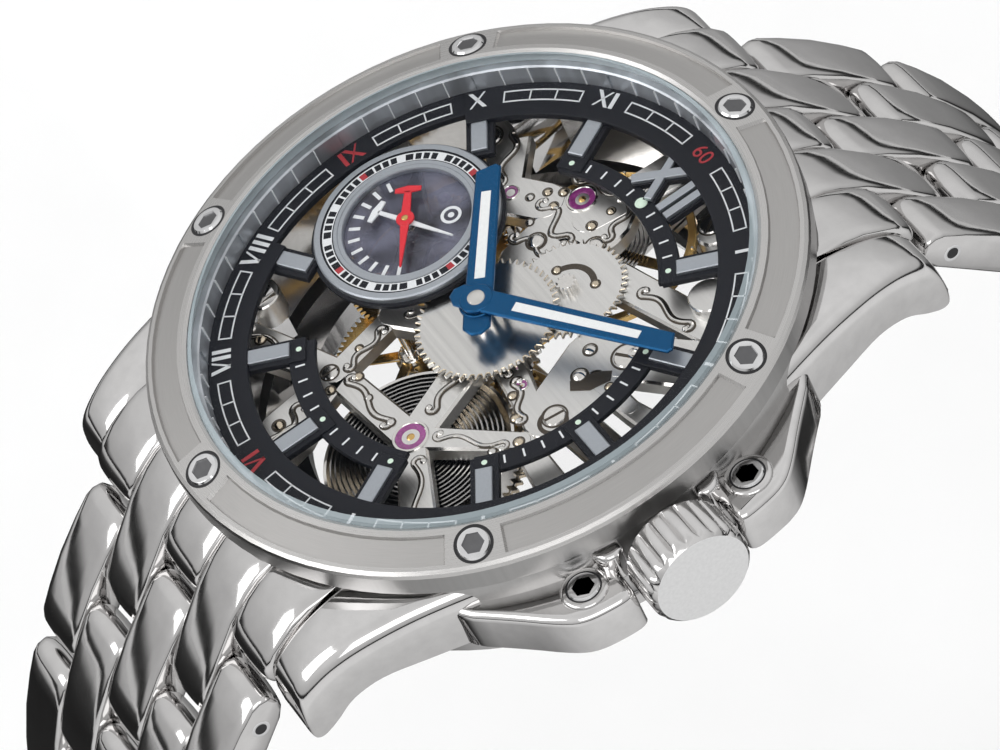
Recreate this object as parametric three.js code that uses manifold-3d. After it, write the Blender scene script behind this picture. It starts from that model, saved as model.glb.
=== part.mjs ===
// Skeleton wristwatch on a five-column steel bracelet, its folding clasp open.
// Millimetres. Origin: centre of the flat back glass. +Z out of the dial, +Y to
// twelve o'clock, +X to three o'clock and the crown.
import * as THREE from 'three';
import { mergeVertices } from 'three/addons/utils/BufferGeometryUtils.js';
import Module from 'manifold-3d';

const wasm = await Module();
wasm.setup();

// ---------------------------------------------------------------- dimensions
const CASE_R = 22.0;          // outer radius of the case band
const CASE_BORE = 18.6;       // bore the movement sits in
const CASE_Z0 = 2.0;          // underside of the case band
const CASE_Z1 = 9.6;          // seat of the bezel and the dial
const BEZEL_R = 22.2;
const GLASS_R = 19.04;        // front crystal, also the bore of the bezel
const GLASS_Z0 = 11.6;
const GLASS_Z1 = 12.8;
const SCREW_CIRCLE = 20.6;    // six bezel screws
const LUG_X0 = 12.0;          // inner faces of the lugs
const LUG_X1 = 15.6;
const GUARD_GAP = 3.75;       // half the gap between the crown guards
const CROWN_Z = 7.3;
const CROWN_R = 3.6;
const SUB_X = -10.0;          // centre of the small dial at nine o'clock
const COLUMN = 4.72;          // pitch of the bracelet columns
const COLUMN_W = 4.6;
const HALF_PITCH = 6.2;       // spacing of the bracelet pins
const PIN_R = 0.5;
const PIN_HOLE = 0.62;
const ROUND = 40;

// ------------------------------------------------------------------- helpers
function solid(geometry) {
  const g = geometry.index ? geometry.toNonIndexed() : geometry.clone();
  g.deleteAttribute('normal');
  g.deleteAttribute('uv');
  const m = mergeVertices(g, 1e-5);
  const mesh = new wasm.Mesh({
    numProp: 3,
    vertProperties: new Float32Array(m.attributes.position.array),
    triVerts: new Uint32Array(m.index.array),
  });
  return new wasm.Manifold(mesh);
}

function mesh(name, body, material) {
  const out = body.getMesh();
  const g = new THREE.BufferGeometry();
  g.setAttribute('position', new THREE.BufferAttribute(new Float32Array(out.vertProperties), 3));
  g.setIndex(new THREE.BufferAttribute(new Uint32Array(out.triVerts), 1));
  g.computeVertexNormals();
  const node = new THREE.Mesh(g, material);
  node.name = name;
  return node;
}

// Straight prism of a closed outline of [x, y] points between two heights.
function prism(points, z0, z1) {
  const shape = new THREE.Shape(points.map(([x, y]) => new THREE.Vector2(x, y)));
  const g = new THREE.ExtrudeGeometry(shape, { depth: z1 - z0, bevelEnabled: false });
  g.translate(0, 0, z0);
  return solid(g);
}

// Prism of a side outline of [y, z] points running along X between x0 and x1.
function sidePrism(points, x0, x1) {
  return prism(points, x0, x1).transform([0, 1, 0, 0, 0, 0, 1, 0, 1, 0, 0, 0, 0, 0, 0, 1]);
}

function ringPoints(r, n, phase = 0) {
  return Array.from({ length: n }, (_, i) => {
    const a = phase + (i * 2 * Math.PI) / n;
    return [r * Math.cos(a), r * Math.sin(a)];
  });
}

function disc(x, y, r, z0, z1, n = 24) {
  return prism(ringPoints(r, n), z0, z1).translate([x, y, 0]);
}

function ring(x, y, r0, r1, z0, z1, n = 32) {
  return disc(x, y, r1, z0, z1, n).subtract(disc(x, y, r0, z0 - 1, z1 + 1, n));
}

// Round bar along X.
function rodX(y, z, r, x0, x1, n = 12) {
  return sidePrism(ringPoints(r, n), x0, x1).translate([0, y, z]);
}

// Turned body from a closed [radius, height] outline about the Z axis.
function turned(points, n = ROUND) {
  const closed = [...points, points[0]].map(([r, z]) => new THREE.Vector2(r, z));
  const g = new THREE.LatheGeometry(closed, n);
  g.rotateX(Math.PI / 2);
  const body = solid(g);
  return body.volume() < 0 ? solid(flip(g)) : body;
}

function flip(g) {
  const index = g.index.array;
  for (let i = 0; i < index.length; i += 3) {
    const keep = index[i];
    index[i] = index[i + 1];
    index[i + 1] = keep;
  }
  return g;
}

// Straight arm with round ends from p to q in the dial plane.
function arm(p, q, width, z0, z1) {
  const a = Math.atan2(q[1] - p[1], q[0] - p[0]);
  const r = width / 2;
  const points = [];
  for (let i = 0; i <= 3; i += 1) {
    const t = a + Math.PI / 2 + (i * Math.PI) / 3;
    points.push([p[0] + r * Math.cos(t), p[1] + r * Math.sin(t)]);
  }
  for (let i = 0; i <= 3; i += 1) {
    const t = a - Math.PI / 2 + (i * Math.PI) / 3;
    points.push([q[0] + r * Math.cos(t), q[1] + r * Math.sin(t)]);
  }
  return prism(points, z0, z1);
}

function join(list) {
  return list.reduce((sum, body) => sum.add(body));
}

// Toothed wheel outline: one root point and one tip point per tooth.
function toothed(x, y, root, tip, teeth, z0, z1) {
  const points = [];
  const step = Math.PI / teeth;
  for (let i = 0; i < 2 * teeth; i += 1) {
    const r = i % 2 === 0 ? tip : root;
    points.push([r * Math.cos(i * step), r * Math.sin(i * step)]);
  }
  return prism(points, z0, z1).translate([x, y, 0]);
}

// Wheel with its spokes left between round lightening holes.
function lightened(body, x, y, r, holeR, count, z0, z1) {
  let cut = body;
  for (let i = 0; i < count; i += 1) {
    const a = (i * 2 * Math.PI) / count + 0.4;
    cut = cut.subtract(disc(x + r * Math.cos(a), y + r * Math.sin(a), holeR, z0 - 1, z1 + 1, 8));
  }
  return cut;
}

// Sector band between two radii, angles in degrees anticlockwise from +X.
function sector(r0, r1, a0, a1, z0, z1, steps) {
  const points = [];
  for (let i = 0; i <= steps; i += 1) {
    const a = THREE.MathUtils.degToRad(a0 + ((a1 - a0) * i) / steps);
    points.push([r1 * Math.cos(a), r1 * Math.sin(a)]);
  }
  for (let i = steps; i >= 0; i -= 1) {
    const a = THREE.MathUtils.degToRad(a0 + ((a1 - a0) * i) / steps);
    points.push([r0 * Math.cos(a), r0 * Math.sin(a)]);
  }
  return prism(points, z0, z1);
}

// Rectangular bar standing along a radius of the dial.
function radialBar(angle, r0, r1, width, z0, z1) {
  const body = prism([[r0, -width / 2], [r1, -width / 2], [r1, width / 2], [r0, width / 2]], z0, z1);
  return body.rotate([0, 0, angle]);
}

const STEEL = new THREE.MeshStandardMaterial({ color: 0xc8c8c8, metalness: 1, roughness: 0.25 });
const BLACK = new THREE.MeshStandardMaterial({ color: 0x15161a, roughness: 0.5 });
const BLUE = new THREE.MeshStandardMaterial({ color: 0x0d5c96, metalness: 0.6, roughness: 0.3 });
const BRASS = new THREE.MeshStandardMaterial({ color: 0xc79a4a, metalness: 1, roughness: 0.3 });
const RED = new THREE.MeshStandardMaterial({ color: 0xd81e2c, roughness: 0.4 });
const WHITE = new THREE.MeshStandardMaterial({ color: 0xf0f0f0, roughness: 0.4 });
const CLEAR = new THREE.MeshStandardMaterial({ color: 0xdfeaf0, transparent: true, opacity: 0.3 });

const root = new THREE.Group();
root.name = 'wristwatch';

function put(name, body, material = STEEL) {
  root.add(mesh(name, body, material));
}

// ---------------------------------------------------------------------- case
function lug(sx, sy) {
  const side = [
    [13.5, 4.4], [18.6, 4.7], [21.4, 3.8], [23.0, 2.3], [24.0, 2.6], [24.6, 5.0],
    [24.3, 6.9], [22.6, 8.2], [19.5, 9.2], [13.5, 9.4],
  ];
  const body = sidePrism(side, LUG_X0, LUG_X1);
  return body.scale([sx, sy, 1]);
}

function guard(sy) {
  const plan = [[19.8, GUARD_GAP], [24.5, GUARD_GAP], [24.2, 7.7], [17.8, 13.4], [14.6, 12.6]];
  return prism(plan, 4.8, 8.0).scale([1, sy, 1]);
}

let caseBody = turned([
  [CASE_BORE, CASE_Z0], [20.5, CASE_Z0], [21.3, 3.6], [21.9, 5.6], [CASE_R, CASE_Z1], [CASE_BORE, CASE_Z1],
]);
for (const sx of [-1, 1]) {
  for (const sy of [-1, 1]) {
    caseBody = caseBody.add(lug(sx, sy));
  }
}
caseBody = caseBody.add(guard(1)).add(guard(-1));
caseBody = caseBody.add(rodX(0, CROWN_Z, 1.6, 19.5, 24.9, 16));
caseBody = caseBody.subtract(disc(0, 0, CASE_BORE, 0, 12, ROUND));
caseBody = caseBody.subtract(rodX(0, CROWN_Z, 0.8, 15, 26, 12));
for (const sy of [-1, 1]) {
  caseBody = caseBody.subtract(disc(22.4, 6.2 * sy, 1.0, 7.0, 9.0, 12));
}
put('case_middle', caseBody);
for (const [name, sy] of [['guard_screw_12', 1], ['guard_screw_6', -1]]) {
  const socket = disc(22.4, 6.2 * sy, 0.55, 7.7, 9, 6);
  put(name, disc(22.4, 6.2 * sy, 1.0, 7.0, 8.3, 12).subtract(socket));
}

let bezel = turned([
  [GLASS_R, CASE_Z1], [BEZEL_R, CASE_Z1], [BEZEL_R, 11.4], [21.9, 11.8], [19.3, 12.55], [GLASS_R, 12.5],
]);
for (let i = 0; i < 6; i += 1) {
  const a = THREE.MathUtils.degToRad(30 + 60 * i);
  const x = SCREW_CIRCLE * Math.cos(a);
  const y = SCREW_CIRCLE * Math.sin(a);
  bezel = bezel.subtract(disc(x, y, 1.15, 10.4, 13, 12));
  const socket = disc(x, y, 0.72, 11.6, 13, 6);
  put(`bezel_screw_${i + 1}`, disc(x, y, 1.15, 10.4, 12.25, 12).subtract(socket));
}
put('bezel', bezel);
put('crystal', turned([
  [0, GLASS_Z0], [GLASS_R, GLASS_Z0], [GLASS_R, 12.45], [18.3, GLASS_Z1], [0, GLASS_Z1],
]), CLEAR);
put('rehaut', ring(0, 0, 18.4, GLASS_R, 10.1, GLASS_Z0, ROUND));
put('back_ring', turned([
  [15.0, 0], [19.6, 0], [20.3, 0.7], [20.3, CASE_Z0], [CASE_BORE, CASE_Z0], [CASE_BORE, 2.8],
  [14.4, 2.8], [14.4, 1.2], [15.0, 1.2],
]));
put('back_glass', disc(0, 0, 15.0, 0, 1.2, ROUND), CLEAR);

// --------------------------------------------------------------------- crown
const crownOutline = [];
for (let i = 0; i < 24; i += 1) {
  const a = (i * 2 * Math.PI) / 24;
  const r = i % 2 === 0 ? CROWN_R : CROWN_R - 0.25;
  crownOutline.push([r * Math.cos(a), r * Math.sin(a)]);
}
let crown = sidePrism(crownOutline, 22.9, 26.5);
crown = crown.subtract(sidePrism(ringPoints(2.25, 16), 22, 25.1));
crown = crown.add(rodX(0, 0, 0.65, 17.6, 25.2, 12)).translate([0, 0, CROWN_Z]);
crown = crown.subtract(disc(0, 0, CASE_R + 0.25, 0, 20, ROUND).subtract(rodX(0, CROWN_Z, 1, 10, 30, 12)));
put('crown', crown);
const seal = rodX(0, CROWN_Z, 2.1, 23.0, 23.6, 16).subtract(rodX(0, CROWN_Z, 1.68, 22, 25, 16));
put('crown_seal', seal, BLACK);

// ---------------------------------------------------------------------- dial
let dial = ring(0, 0, 15.7, 19.0, CASE_Z1, 10.1, ROUND);
for (const hour of [1, 2, 3, 4, 5, 6, 7, 8, 10, 11, 12]) {
  const a = 90 - 30 * hour;
  const width = hour === 12 ? 3.9 : 1.9;
  const inner = [8, 10].includes(hour) ? 13.6 : 11.8;
  dial = dial.add(radialBar(a, inner, 16.4, width, 9.3, 9.75));
}
dial = dial.add(sector(11.6, 13.1, 57, 123, 9.2, 9.55, 10));
dial = dial.add(sector(11.6, 13.1, -33, 33, 9.2, 9.55, 10));
dial = dial.add(sector(10.6, 13.1, -123, -57, 9.2, 9.55, 10));
dial = dial.add(disc(SUB_X, 0, 6.65, 9.2, 9.5, 32));
dial = dial.subtract(disc(SUB_X, 0, 6.42, 9.5, 12, 32)).subtract(disc(SUB_X, 0, 5.0, 9, 10, 32));
put('dial_frame', dial, BLACK);
put('small_dial_ring', ring(SUB_X, 0, 4.4, 6.4, 9.5, 9.95, 32));
put('small_dial_window', ring(SUB_X, 0, 0.55, 4.98, 9.2, 9.5, 32), CLEAR);

// --------------------------------------------------------------------- hands
function hand(length, width, tail, z0, z1) {
  const w = width / 2;
  return prism([
    [-tail, -w * 0.85], [-1, -w], [length - 0.6, -w * 0.9], [length, 0], [length - 0.6, w * 0.9], [-1, w],
    [-tail, w * 0.85],
  ], z0, z1);
}

const HOUR_ANGLE = 145.8;
const MINUTE_ANGLE = 31.5;
let hourHand = hand(11.4, 1.9, 2.8, 10.45, 10.65).add(disc(0, 0, 1.35, 10.4, 10.7, 20));
hourHand = hourHand.rotate([0, 0, HOUR_ANGLE]).add(disc(0, 0, 0.98, 8.5, 10.5, 16));
hourHand = hourHand.add(lightened(toothed(0, 0, 4.55, 4.85, 55, 8.5, 8.85), 0, 0, 2.9, 0.9, 5, 8, 9));
put('hour_hand', hourHand.subtract(disc(0, 0, 0.7, 8, 12, 16)), BLUE);
let minuteHand = hand(14.8, 1.75, 1.8, 10.8, 11.0).add(disc(0, 0, 1.2, 10.75, 11.2, 20));
minuteHand = minuteHand.rotate([0, 0, MINUTE_ANGLE]).add(disc(0, 0, 0.6, 6.9, 11.0, 16));
minuteHand = minuteHand.add(toothed(0, 0, 1.3, 1.55, 20, 8.0, 8.35));
put('minute_hand', minuteHand, BLUE);

const MINUTE_WHEEL = [1.3, 5.43];
let minuteWheel = toothed(...MINUTE_WHEEL, 3.65, 3.92, 48, 8.0, 8.3);
minuteWheel = lightened(minuteWheel, ...MINUTE_WHEEL, 2.2, 0.8, 4, 7, 9);
minuteWheel = minuteWheel.add(disc(...MINUTE_WHEEL, 0.68, 8.2, 8.95, 11));
minuteWheel = minuteWheel.add(disc(...MINUTE_WHEEL, 0.4, 6.9, 8.1, 12));
put('minute_wheel', minuteWheel);

function smallHand(length, tail, angle, z0, z1) {
  const body = prism([
    [-tail, -0.9], [-tail + 0.5, -0.9], [-tail + 0.5, -0.2], [0, -0.22], [length, -0.08],
    [length, 0.08], [0, 0.22], [-tail + 0.5, 0.2], [-tail + 0.5, 0.9], [-tail, 0.9],
  ], z0, z1);
  return body.rotate([0, 0, angle]).translate([SUB_X, 0, 0]);
}

let whiteHand = smallHand(3.75, 2.6, 27, 9.85, 9.98).add(disc(SUB_X, 0, 0.45, 8.2, 10.02, 12));
put('day_hand', whiteHand.subtract(disc(SUB_X, 0, 0.28, 8, 12, 12)), WHITE);
let redHand = smallHand(4.0, 2.6, -35, 10.1, 10.22).add(disc(SUB_X, 0, 0.5, 10.08, 10.36, 12));
put('seconds_hand', redHand, RED);

// ------------------------------------------------------------------ movement
const BARREL = [3.9, -8.5];
const THIRD = [-5.8, -4.4];
const FOURTH = [SUB_X, 0];
const ESCAPE = [-9.0, 6.4];
const FORK = [-6.5, 8.0];
const BALANCE = [-3.0, 9.5];
const ARBOR = 0.35;

function arbor([x, y], z0, z1, r = ARBOR) {
  return disc(x, y, r, z0, z1, 12);
}

function bore([x, y], z0, z1, r = 0.42) {
  return disc(x, y, r, z0, z1, 12);
}

let plate = turned([[17.3, 3.4], [CASE_BORE, 3.4], [CASE_BORE, CASE_Z1], [17.3, CASE_Z1]]);
const PLATE_Z0 = 6.8;
const PLATE_Z1 = 7.9;
const limbs = [
  [[0, 0], BARREL, 2.6], [BARREL, [-4.5, -9.6], 2.0], [[-4.5, -9.6], [-12, -13], 2.2],
  [BARREL, [12.5, -12.8], 2.2], [BARREL, [9.4, -3.2], 1.7], [[9.4, -3.2], [17.8, -3.8], 2.0],
  [[0, 0], [9.2, -1.8], 2.0], [[8.9, -0.4], [7.0, 4.0], 4.6], [[7.0, 4.2], [14.6, 10.2], 3.4],
  [[0, 0], THIRD, 2.4], [THIRD, FOURTH, 2.2], [[-4.5, -9.6], THIRD, 1.8], [FOURTH, [-17.6, 2.4], 2.4],
  [FOURTH, ESCAPE, 2.0], [ESCAPE, FORK, 3.4], [FORK, BALANCE, 3.4], [ESCAPE, [-14.6, 10.0], 2.6],
  [BALANCE, [-2.6, 5.2], 6.0], [[0, 0], [-2.4, 5.0], 2.6], [BALANCE, [-1.4, 17.8], 2.2],
  [[-2.5, -14.2], [-2.5, -17.6], 3.2], [[-4.2, -10], [-3.0, -14.6], 2.4], [MINUTE_WHEEL, [-1.5, 6.4], 3.0],
];
for (const [p, q, width] of limbs) {
  plate = plate.add(arm(p, q, width, PLATE_Z0, PLATE_Z1));
}
for (const [x, y, r] of [[-12.95, -10.3, 1.35], [9.0, 11.75, 1.35], [3.3, 15.1, 1.0]]) {
  plate = plate.add(disc(x, y, r, PLATE_Z0, 8.5, 16));
}
plate = plate.add(arm([9.0, 11.75], [12.6, 12.9], 1.8, PLATE_Z0, PLATE_Z1));
plate = plate.add(arm([3.3, 15.1], [4.0, 17.8], 1.8, PLATE_Z0, PLATE_Z1));
plate = plate.add(arm([-12.95, -10.3], [-14.5, -11], 2.0, PLATE_Z0, PLATE_Z1));
for (const place of [BARREL, THIRD, ESCAPE, FORK, BALANCE, MINUTE_WHEEL]) {
  const wide = place === MINUTE_WHEEL;
  plate = plate.subtract(bore(place, 6.0, wide ? 8.5 : 7.6, wide ? 0.5 : 0.42));
}
plate = plate.subtract(bore([0, 0], 6.0, 9, 0.7)).subtract(bore(FOURTH, 6, 9, 0.5));
plate = plate.subtract(rodX(0, CROWN_Z, 0.8, 16, 20, 12));
plate = plate.intersect(disc(0, 0, CASE_BORE, 0, 12, ROUND));
put('main_plate', plate);

let barrel = disc(...BARREL, 6.85, 4.3, 4.7, 32);
barrel = barrel.add(ring(...BARREL, 5.9, 6.4, 4.3, 6.5, 32)).add(disc(...BARREL, 1.5, 4.3, 6.5, 16));
barrel = barrel.add(arbor(BARREL, 2.95, 7.4));
put('barrel', barrel);

let centre = lightened(disc(0, 0, 6.5, 3.9, 4.15, 32), 0, 0, 3.9, 1.4, 5, 3, 5);
centre = centre.add(disc(0, 0, 2.3, 4.35, 4.7, 16)).add(arbor([0, 0], 2.95, 6.7));
centre = centre.add(disc(0, 0, 0.9, 4.1, 4.4, 12));
put('centre_wheel', centre, BRASS);

let third = lightened(disc(...THIRD, 5.3, 3.5, 3.72, 32), ...THIRD, 3.0, 1.2, 5, 3, 3.8);
third = third.add(disc(...THIRD, 0.65, 3.6, 4.25, 10)).add(arbor(THIRD, 2.95, 7.4));
put('third_wheel', third, BRASS);

let fourth = lightened(disc(...FOURTH, 5.58, 5.4, 5.62, 32), ...FOURTH, 3.3, 1.2, 5, 5, 6);
fourth = fourth.add(disc(...FOURTH, 0.55, 3.45, 3.8, 10)).add(disc(...FOURTH, 0.22, 9.0, 10.08, 12));
fourth = fourth.add(arbor(FOURTH, 2.95, 8.1)).add(disc(...FOURTH, 0.22, 8.0, 9.1, 12));
put('fourth_wheel', fourth, BRASS);

let escape = toothed(...ESCAPE, 1.35, 1.85, 15, 5.95, 6.15).add(disc(...ESCAPE, 0.6, 5.35, 5.75, 10));
escape = escape.add(arbor(ESCAPE, 2.95, 7.4));
put('escape_wheel', escape);


function between(p, q, t) {
  return [p[0] + (q[0] - p[0]) * t, p[1] + (q[1] - p[1]) * t];
}

let fork = arm(FORK, between(FORK, BALANCE, 0.72), 0.5, 5.9, 6.15);
const forkAngle = Math.atan2(BALANCE[1] - FORK[1], BALANCE[0] - FORK[0]);
for (const side of [-1, 1]) {
  const t = forkAngle + side * 1.75;
  const tip = [FORK[0] + 1.5 * Math.cos(t), FORK[1] + 1.5 * Math.sin(t)];
  fork = fork.add(arm(FORK, tip, 0.4, 5.9, 6.15));
}
put('pallet_fork', fork.add(arbor(FORK, 5.0, 7.4)));

let balance = ring(...BALANCE, 5.7, 6.3, 4.3, 4.8, 28);
for (let i = 0; i < 3; i += 1) {
  const a = (i * 2 * Math.PI) / 3 + 0.5;
  const end = [BALANCE[0] + 5.9 * Math.cos(a), BALANCE[1] + 5.9 * Math.sin(a)];
  balance = balance.add(arm(BALANCE, end, 0.7, 4.4, 4.7));
}
balance = balance.add(disc(...BALANCE, 0.55, 4.3, 5.6, 12)).add(arbor(BALANCE, 2.95, 7.4));
put('balance_wheel', balance, BRASS);

const BRIDGE_Z0 = 2.85;
const BRIDGE_Z1 = 3.38;
const bridgeArms = [
  [[0, 0], BARREL, 3.0], [[0, 0], THIRD, 2.4], [THIRD, FOURTH, 2.2], [FOURTH, ESCAPE, 2.0],
  [BARREL, [9.5, -15.2], 2.6], [[0, 0], [17.3, 2.0], 2.8], [FOURTH, [-17.6, -1.5], 2.6],
  [ESCAPE, [-15.6, 8.5], 2.2],
];
let bridge = join(bridgeArms.map(([p, q, width]) => arm(p, q, width, BRIDGE_Z0, BRIDGE_Z1)));
for (const place of [[0, 0], BARREL, THIRD, FOURTH, ESCAPE]) {
  bridge = bridge.subtract(bore(place, 2, 4));
}
put('train_bridge', bridge.intersect(disc(0, 0, 18.3, 0, 12, ROUND)));
let cock = arm(BALANCE, [-4.8, 17.0], 3.0, BRIDGE_Z0, BRIDGE_Z1).subtract(bore(BALANCE, 2, 4));
put('balance_cock', cock.intersect(disc(0, 0, 18.3, 0, 12, ROUND)));

// ------------------------------------------------------------------ bracelet
// Pins down the twelve-o'clock side as [y, z]; the six side mirrors them.
const FIRST_PIN = [26.85, 1.9];
const FALL = [47, 55.5, 64, 73, 84, 88, 91, 94, 97, 100];
const pins = [FIRST_PIN];
for (const angle of FALL) {
  const a = THREE.MathUtils.degToRad(angle);
  const [y, z] = pins[pins.length - 1];
  pins.push([y + HALF_PITCH * Math.cos(a), z - HALF_PITCH * Math.sin(a)]);
}
const ODD = [-2, 0, 2];
const EVEN = [-1, 1];
const LINK_SIDE = [
  [-2.6, 0.2], [-2.25, 1.15], [-1.4, 1.55], [3.1, 1.75], [7.6, 1.55], [8.45, 1.15], [8.8, 0.2],
  [7.9, -1.4], [-1.7, -1.4],
];

// Side outline in link coordinates (along, outward) placed at a pin.
function placed(points, pin, angle) {
  const a = THREE.MathUtils.degToRad(angle);
  return points.map(([u, v]) => [
    pin[0] + u * Math.cos(a) + v * Math.sin(a),
    pin[1] - u * Math.sin(a) + v * Math.cos(a),
  ]);
}

function columns(list, outline) {
  return join(list.map((k) => sidePrism(outline, k * COLUMN - COLUMN_W / 2, k * COLUMN + COLUMN_W / 2)));
}

function row(index) {
  const list = index % 2 === 0 ? ODD : EVEN;
  const outer = index % 2 === 0 ? 2 * COLUMN + 1.5 : 2 * COLUMN - 1.2;
  const start = pins[index];
  const end = pins[index + 1];
  let body = columns(list, placed(LINK_SIDE, start, FALL[index]));
  body = body.add(rodX(start[0], start[1], PIN_R, -outer, outer, 6));
  return body.subtract(rodX(end[0], end[1], PIN_HOLE, -15, 15, 8));
}

function endLink() {
  const top = placed([[-5.6, 1.75], [-3.7, 1.35], [-3.6, -0.6], [-4.6, -1.4]], FIRST_PIN, 47);
  const short = [[19.0, 8.3], [22.2, 8.0], ...top, [20.4, 3.0], [19.0, 3.4]];
  const longEnd = [
    [-4.2, 1.7], [1.6, 1.5], [2.3, 1.05], [2.6, 0.3], [2.15, -0.9], [1.4, -1.4], [-4.6, -1.4],
  ];
  const long = placed(longEnd, FIRST_PIN, 47);
  let body = sidePrism(short, -LUG_X0 + 0.1, LUG_X0 - 0.1).add(columns(EVEN, long));
  body = body.subtract(disc(0, 0, CASE_R, 0, 12, ROUND));
  return body.subtract(rodX(FIRST_PIN[0], FIRST_PIN[1], PIN_HOLE, -13, 13, 8));
}

const mirrorY = (body) => body.scale([1, -1, 1]);
put('end_link_12', endLink());
put('end_link_6', mirrorY(endLink()));
for (let i = 0; i < 10; i += 1) {
  const number = String(i + 1).padStart(2, '0');
  put(`link_12_${number}`, row(i));
  put(`link_6_${number}`, mirrorY(row(i)));
}

// --------------------------------------------------------------------- clasp
// Three bowed plates. Each is drawn in the folded stack, where all arcs share the
// centre (y 0, z ARC_Z), and is then unfolded about its hinge.
const ARC_Z = 38;
const COVER_R = 92.0;
const CLASP_PIN = [23.5, -49.41];
const HINGE_A = [-17.0, ARC_Z - Math.sqrt(89.6 * 89.6 - 17.0 * 17.0)];
const HINGE_B = [13.5, ARC_Z - Math.sqrt(88.2 * 88.2 - 13.5 * 13.5)];
const COVER_FALL = 62.04;      // cover turned down from the folded stack's level
const LONG_OPEN = 83.95;       // long blade swung away from the cover
const SHORT_OPEN = -178.25;    // short blade swung in line with the long blade

function bow(r0, r1, y0, y1, width, steps = 6) {
  const outer = [];
  const inner = [];
  for (let i = 0; i <= steps; i += 1) {
    const y = y0 + ((y1 - y0) * i) / steps;
    outer.push([y, ARC_Z - Math.sqrt(r1 * r1 - y * y)]);
    inner.unshift([y, ARC_Z - Math.sqrt(r0 * r0 - y * y)]);
  }
  return sidePrism([...outer, ...inner], -width / 2, width / 2);
}

function knuckle([y, z], x0, x1, r = 1.1) {
  return rodX(y, z, r, x0, x1, 12);
}

function swing(body, [y, z], angle) {
  return body.translate([0, -y, -z]).rotate([angle, 0, 0]).translate([0, y, z]);
}

// Hangs a piece of the clasp on the last pin of the twelve-o'clock side.
function hang(body) {
  const last = pins[pins.length - 1];
  const move = [0, last[0] - CLASP_PIN[0], last[1] - CLASP_PIN[1]];
  return swing(body, CLASP_PIN, COVER_FALL).translate(move);
}

const COVER_HALF = 10.25;
let cover = bow(COVER_R - 0.6, COVER_R + 0.7, -18.4, 20.3, 2 * COVER_HALF);
const prong = [
  [CLASP_PIN[0] + 0.9, CLASP_PIN[1] + 1.0], [CLASP_PIN[0] + 1.2, CLASP_PIN[1] - 1.0],
  [20.0, -53.2], [18.4, -52.9], [20.6, -49.6],
];
for (const k of ODD) {
  const x0 = Math.max(k * COLUMN - COLUMN_W / 2, -COVER_HALF - 0.65);
  const x1 = Math.min(k * COLUMN + COLUMN_W / 2, COVER_HALF + 0.65);
  cover = cover.add(sidePrism(prong, x0, x1));
}
cover = cover.add(rodX(...CLASP_PIN, PIN_R, -10.5, 10.5, 8));
cover = cover.add(knuckle(HINGE_A, -9.5, -5.5)).add(knuckle(HINGE_A, 5.5, 9.5));
const endWall = bow(89.9, COVER_R, -18.0, -16.0, 19.0, 1);
cover = cover.add(endWall.subtract(rodX(-17, -50, 9, -5.4, 5.4, 8)));
cover = cover.add(rodX(...HINGE_A, 0.35, -7, 7, 8));
put('clasp_cover', hang(cover));

let longBlade = bow(89.3, 90.1, -16.6, 13.6, 10.0).add(knuckle(HINGE_A, -5.3, 5.3, 0.85));
longBlade = longBlade.subtract(rodX(...HINGE_A, 0.45, -6, 6, 8));
longBlade = longBlade.subtract(rodX(...HINGE_B, 1.35, -3.2, 3.2, 10));
longBlade = longBlade.add(knuckle(HINGE_B, 3.25, 5.0, 1.6)).add(knuckle(HINGE_B, -5.0, -3.25, 1.6));
longBlade = longBlade.add(rodX(...HINGE_B, 0.45, -4, 4, 8));
put('clasp_long_blade', hang(swing(longBlade, HINGE_A, LONG_OPEN)));

let shortBlade = bow(87.8, 88.6, -18.5, 13.2, 6.2).add(knuckle(HINGE_B, -3.1, 3.1, 1.0));
shortBlade = shortBlade.subtract(rodX(...HINGE_B, 0.6, -8, 8, 8));
const foot = [
  [-18.2, -48.3], [-18.2, -47.3], [-20.6, -47.4], [-22.6, -48.0], [-23.9, -49.0],
  [-23.9, -50.1], [-22.6, -50.2], [-21.6, -48.9],
];
shortBlade = swing(shortBlade.add(sidePrism(foot, -2.2, 2.2)), HINGE_B, SHORT_OPEN);
put('clasp_short_blade', hang(swing(shortBlade, HINGE_A, LONG_OPEN)));

export default root;
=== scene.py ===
"""Skeleton wristwatch on a steel bracelet: its looks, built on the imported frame. Sizes in millimetres."""
import math

import bmesh
import bpy
from mathutils import Matrix, Vector


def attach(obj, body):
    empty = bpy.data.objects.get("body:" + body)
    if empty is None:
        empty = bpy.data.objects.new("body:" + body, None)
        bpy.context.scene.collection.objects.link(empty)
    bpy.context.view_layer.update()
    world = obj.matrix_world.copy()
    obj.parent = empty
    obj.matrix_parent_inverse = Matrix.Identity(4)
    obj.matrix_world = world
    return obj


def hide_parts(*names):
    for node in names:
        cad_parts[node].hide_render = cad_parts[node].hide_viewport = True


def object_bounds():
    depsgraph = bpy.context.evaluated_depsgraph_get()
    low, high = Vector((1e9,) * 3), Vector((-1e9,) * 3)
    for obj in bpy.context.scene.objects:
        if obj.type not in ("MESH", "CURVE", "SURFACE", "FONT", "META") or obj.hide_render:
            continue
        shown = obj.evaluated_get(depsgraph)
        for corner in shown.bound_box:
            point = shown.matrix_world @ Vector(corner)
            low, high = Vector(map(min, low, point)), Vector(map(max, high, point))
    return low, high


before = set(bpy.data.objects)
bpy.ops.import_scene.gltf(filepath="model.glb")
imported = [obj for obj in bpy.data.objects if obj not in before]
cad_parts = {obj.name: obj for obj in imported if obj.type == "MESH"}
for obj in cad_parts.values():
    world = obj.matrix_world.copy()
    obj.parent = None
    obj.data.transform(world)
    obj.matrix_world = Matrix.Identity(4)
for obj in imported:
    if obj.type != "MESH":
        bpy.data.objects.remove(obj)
cad_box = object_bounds()
MM = 0.001

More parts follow.
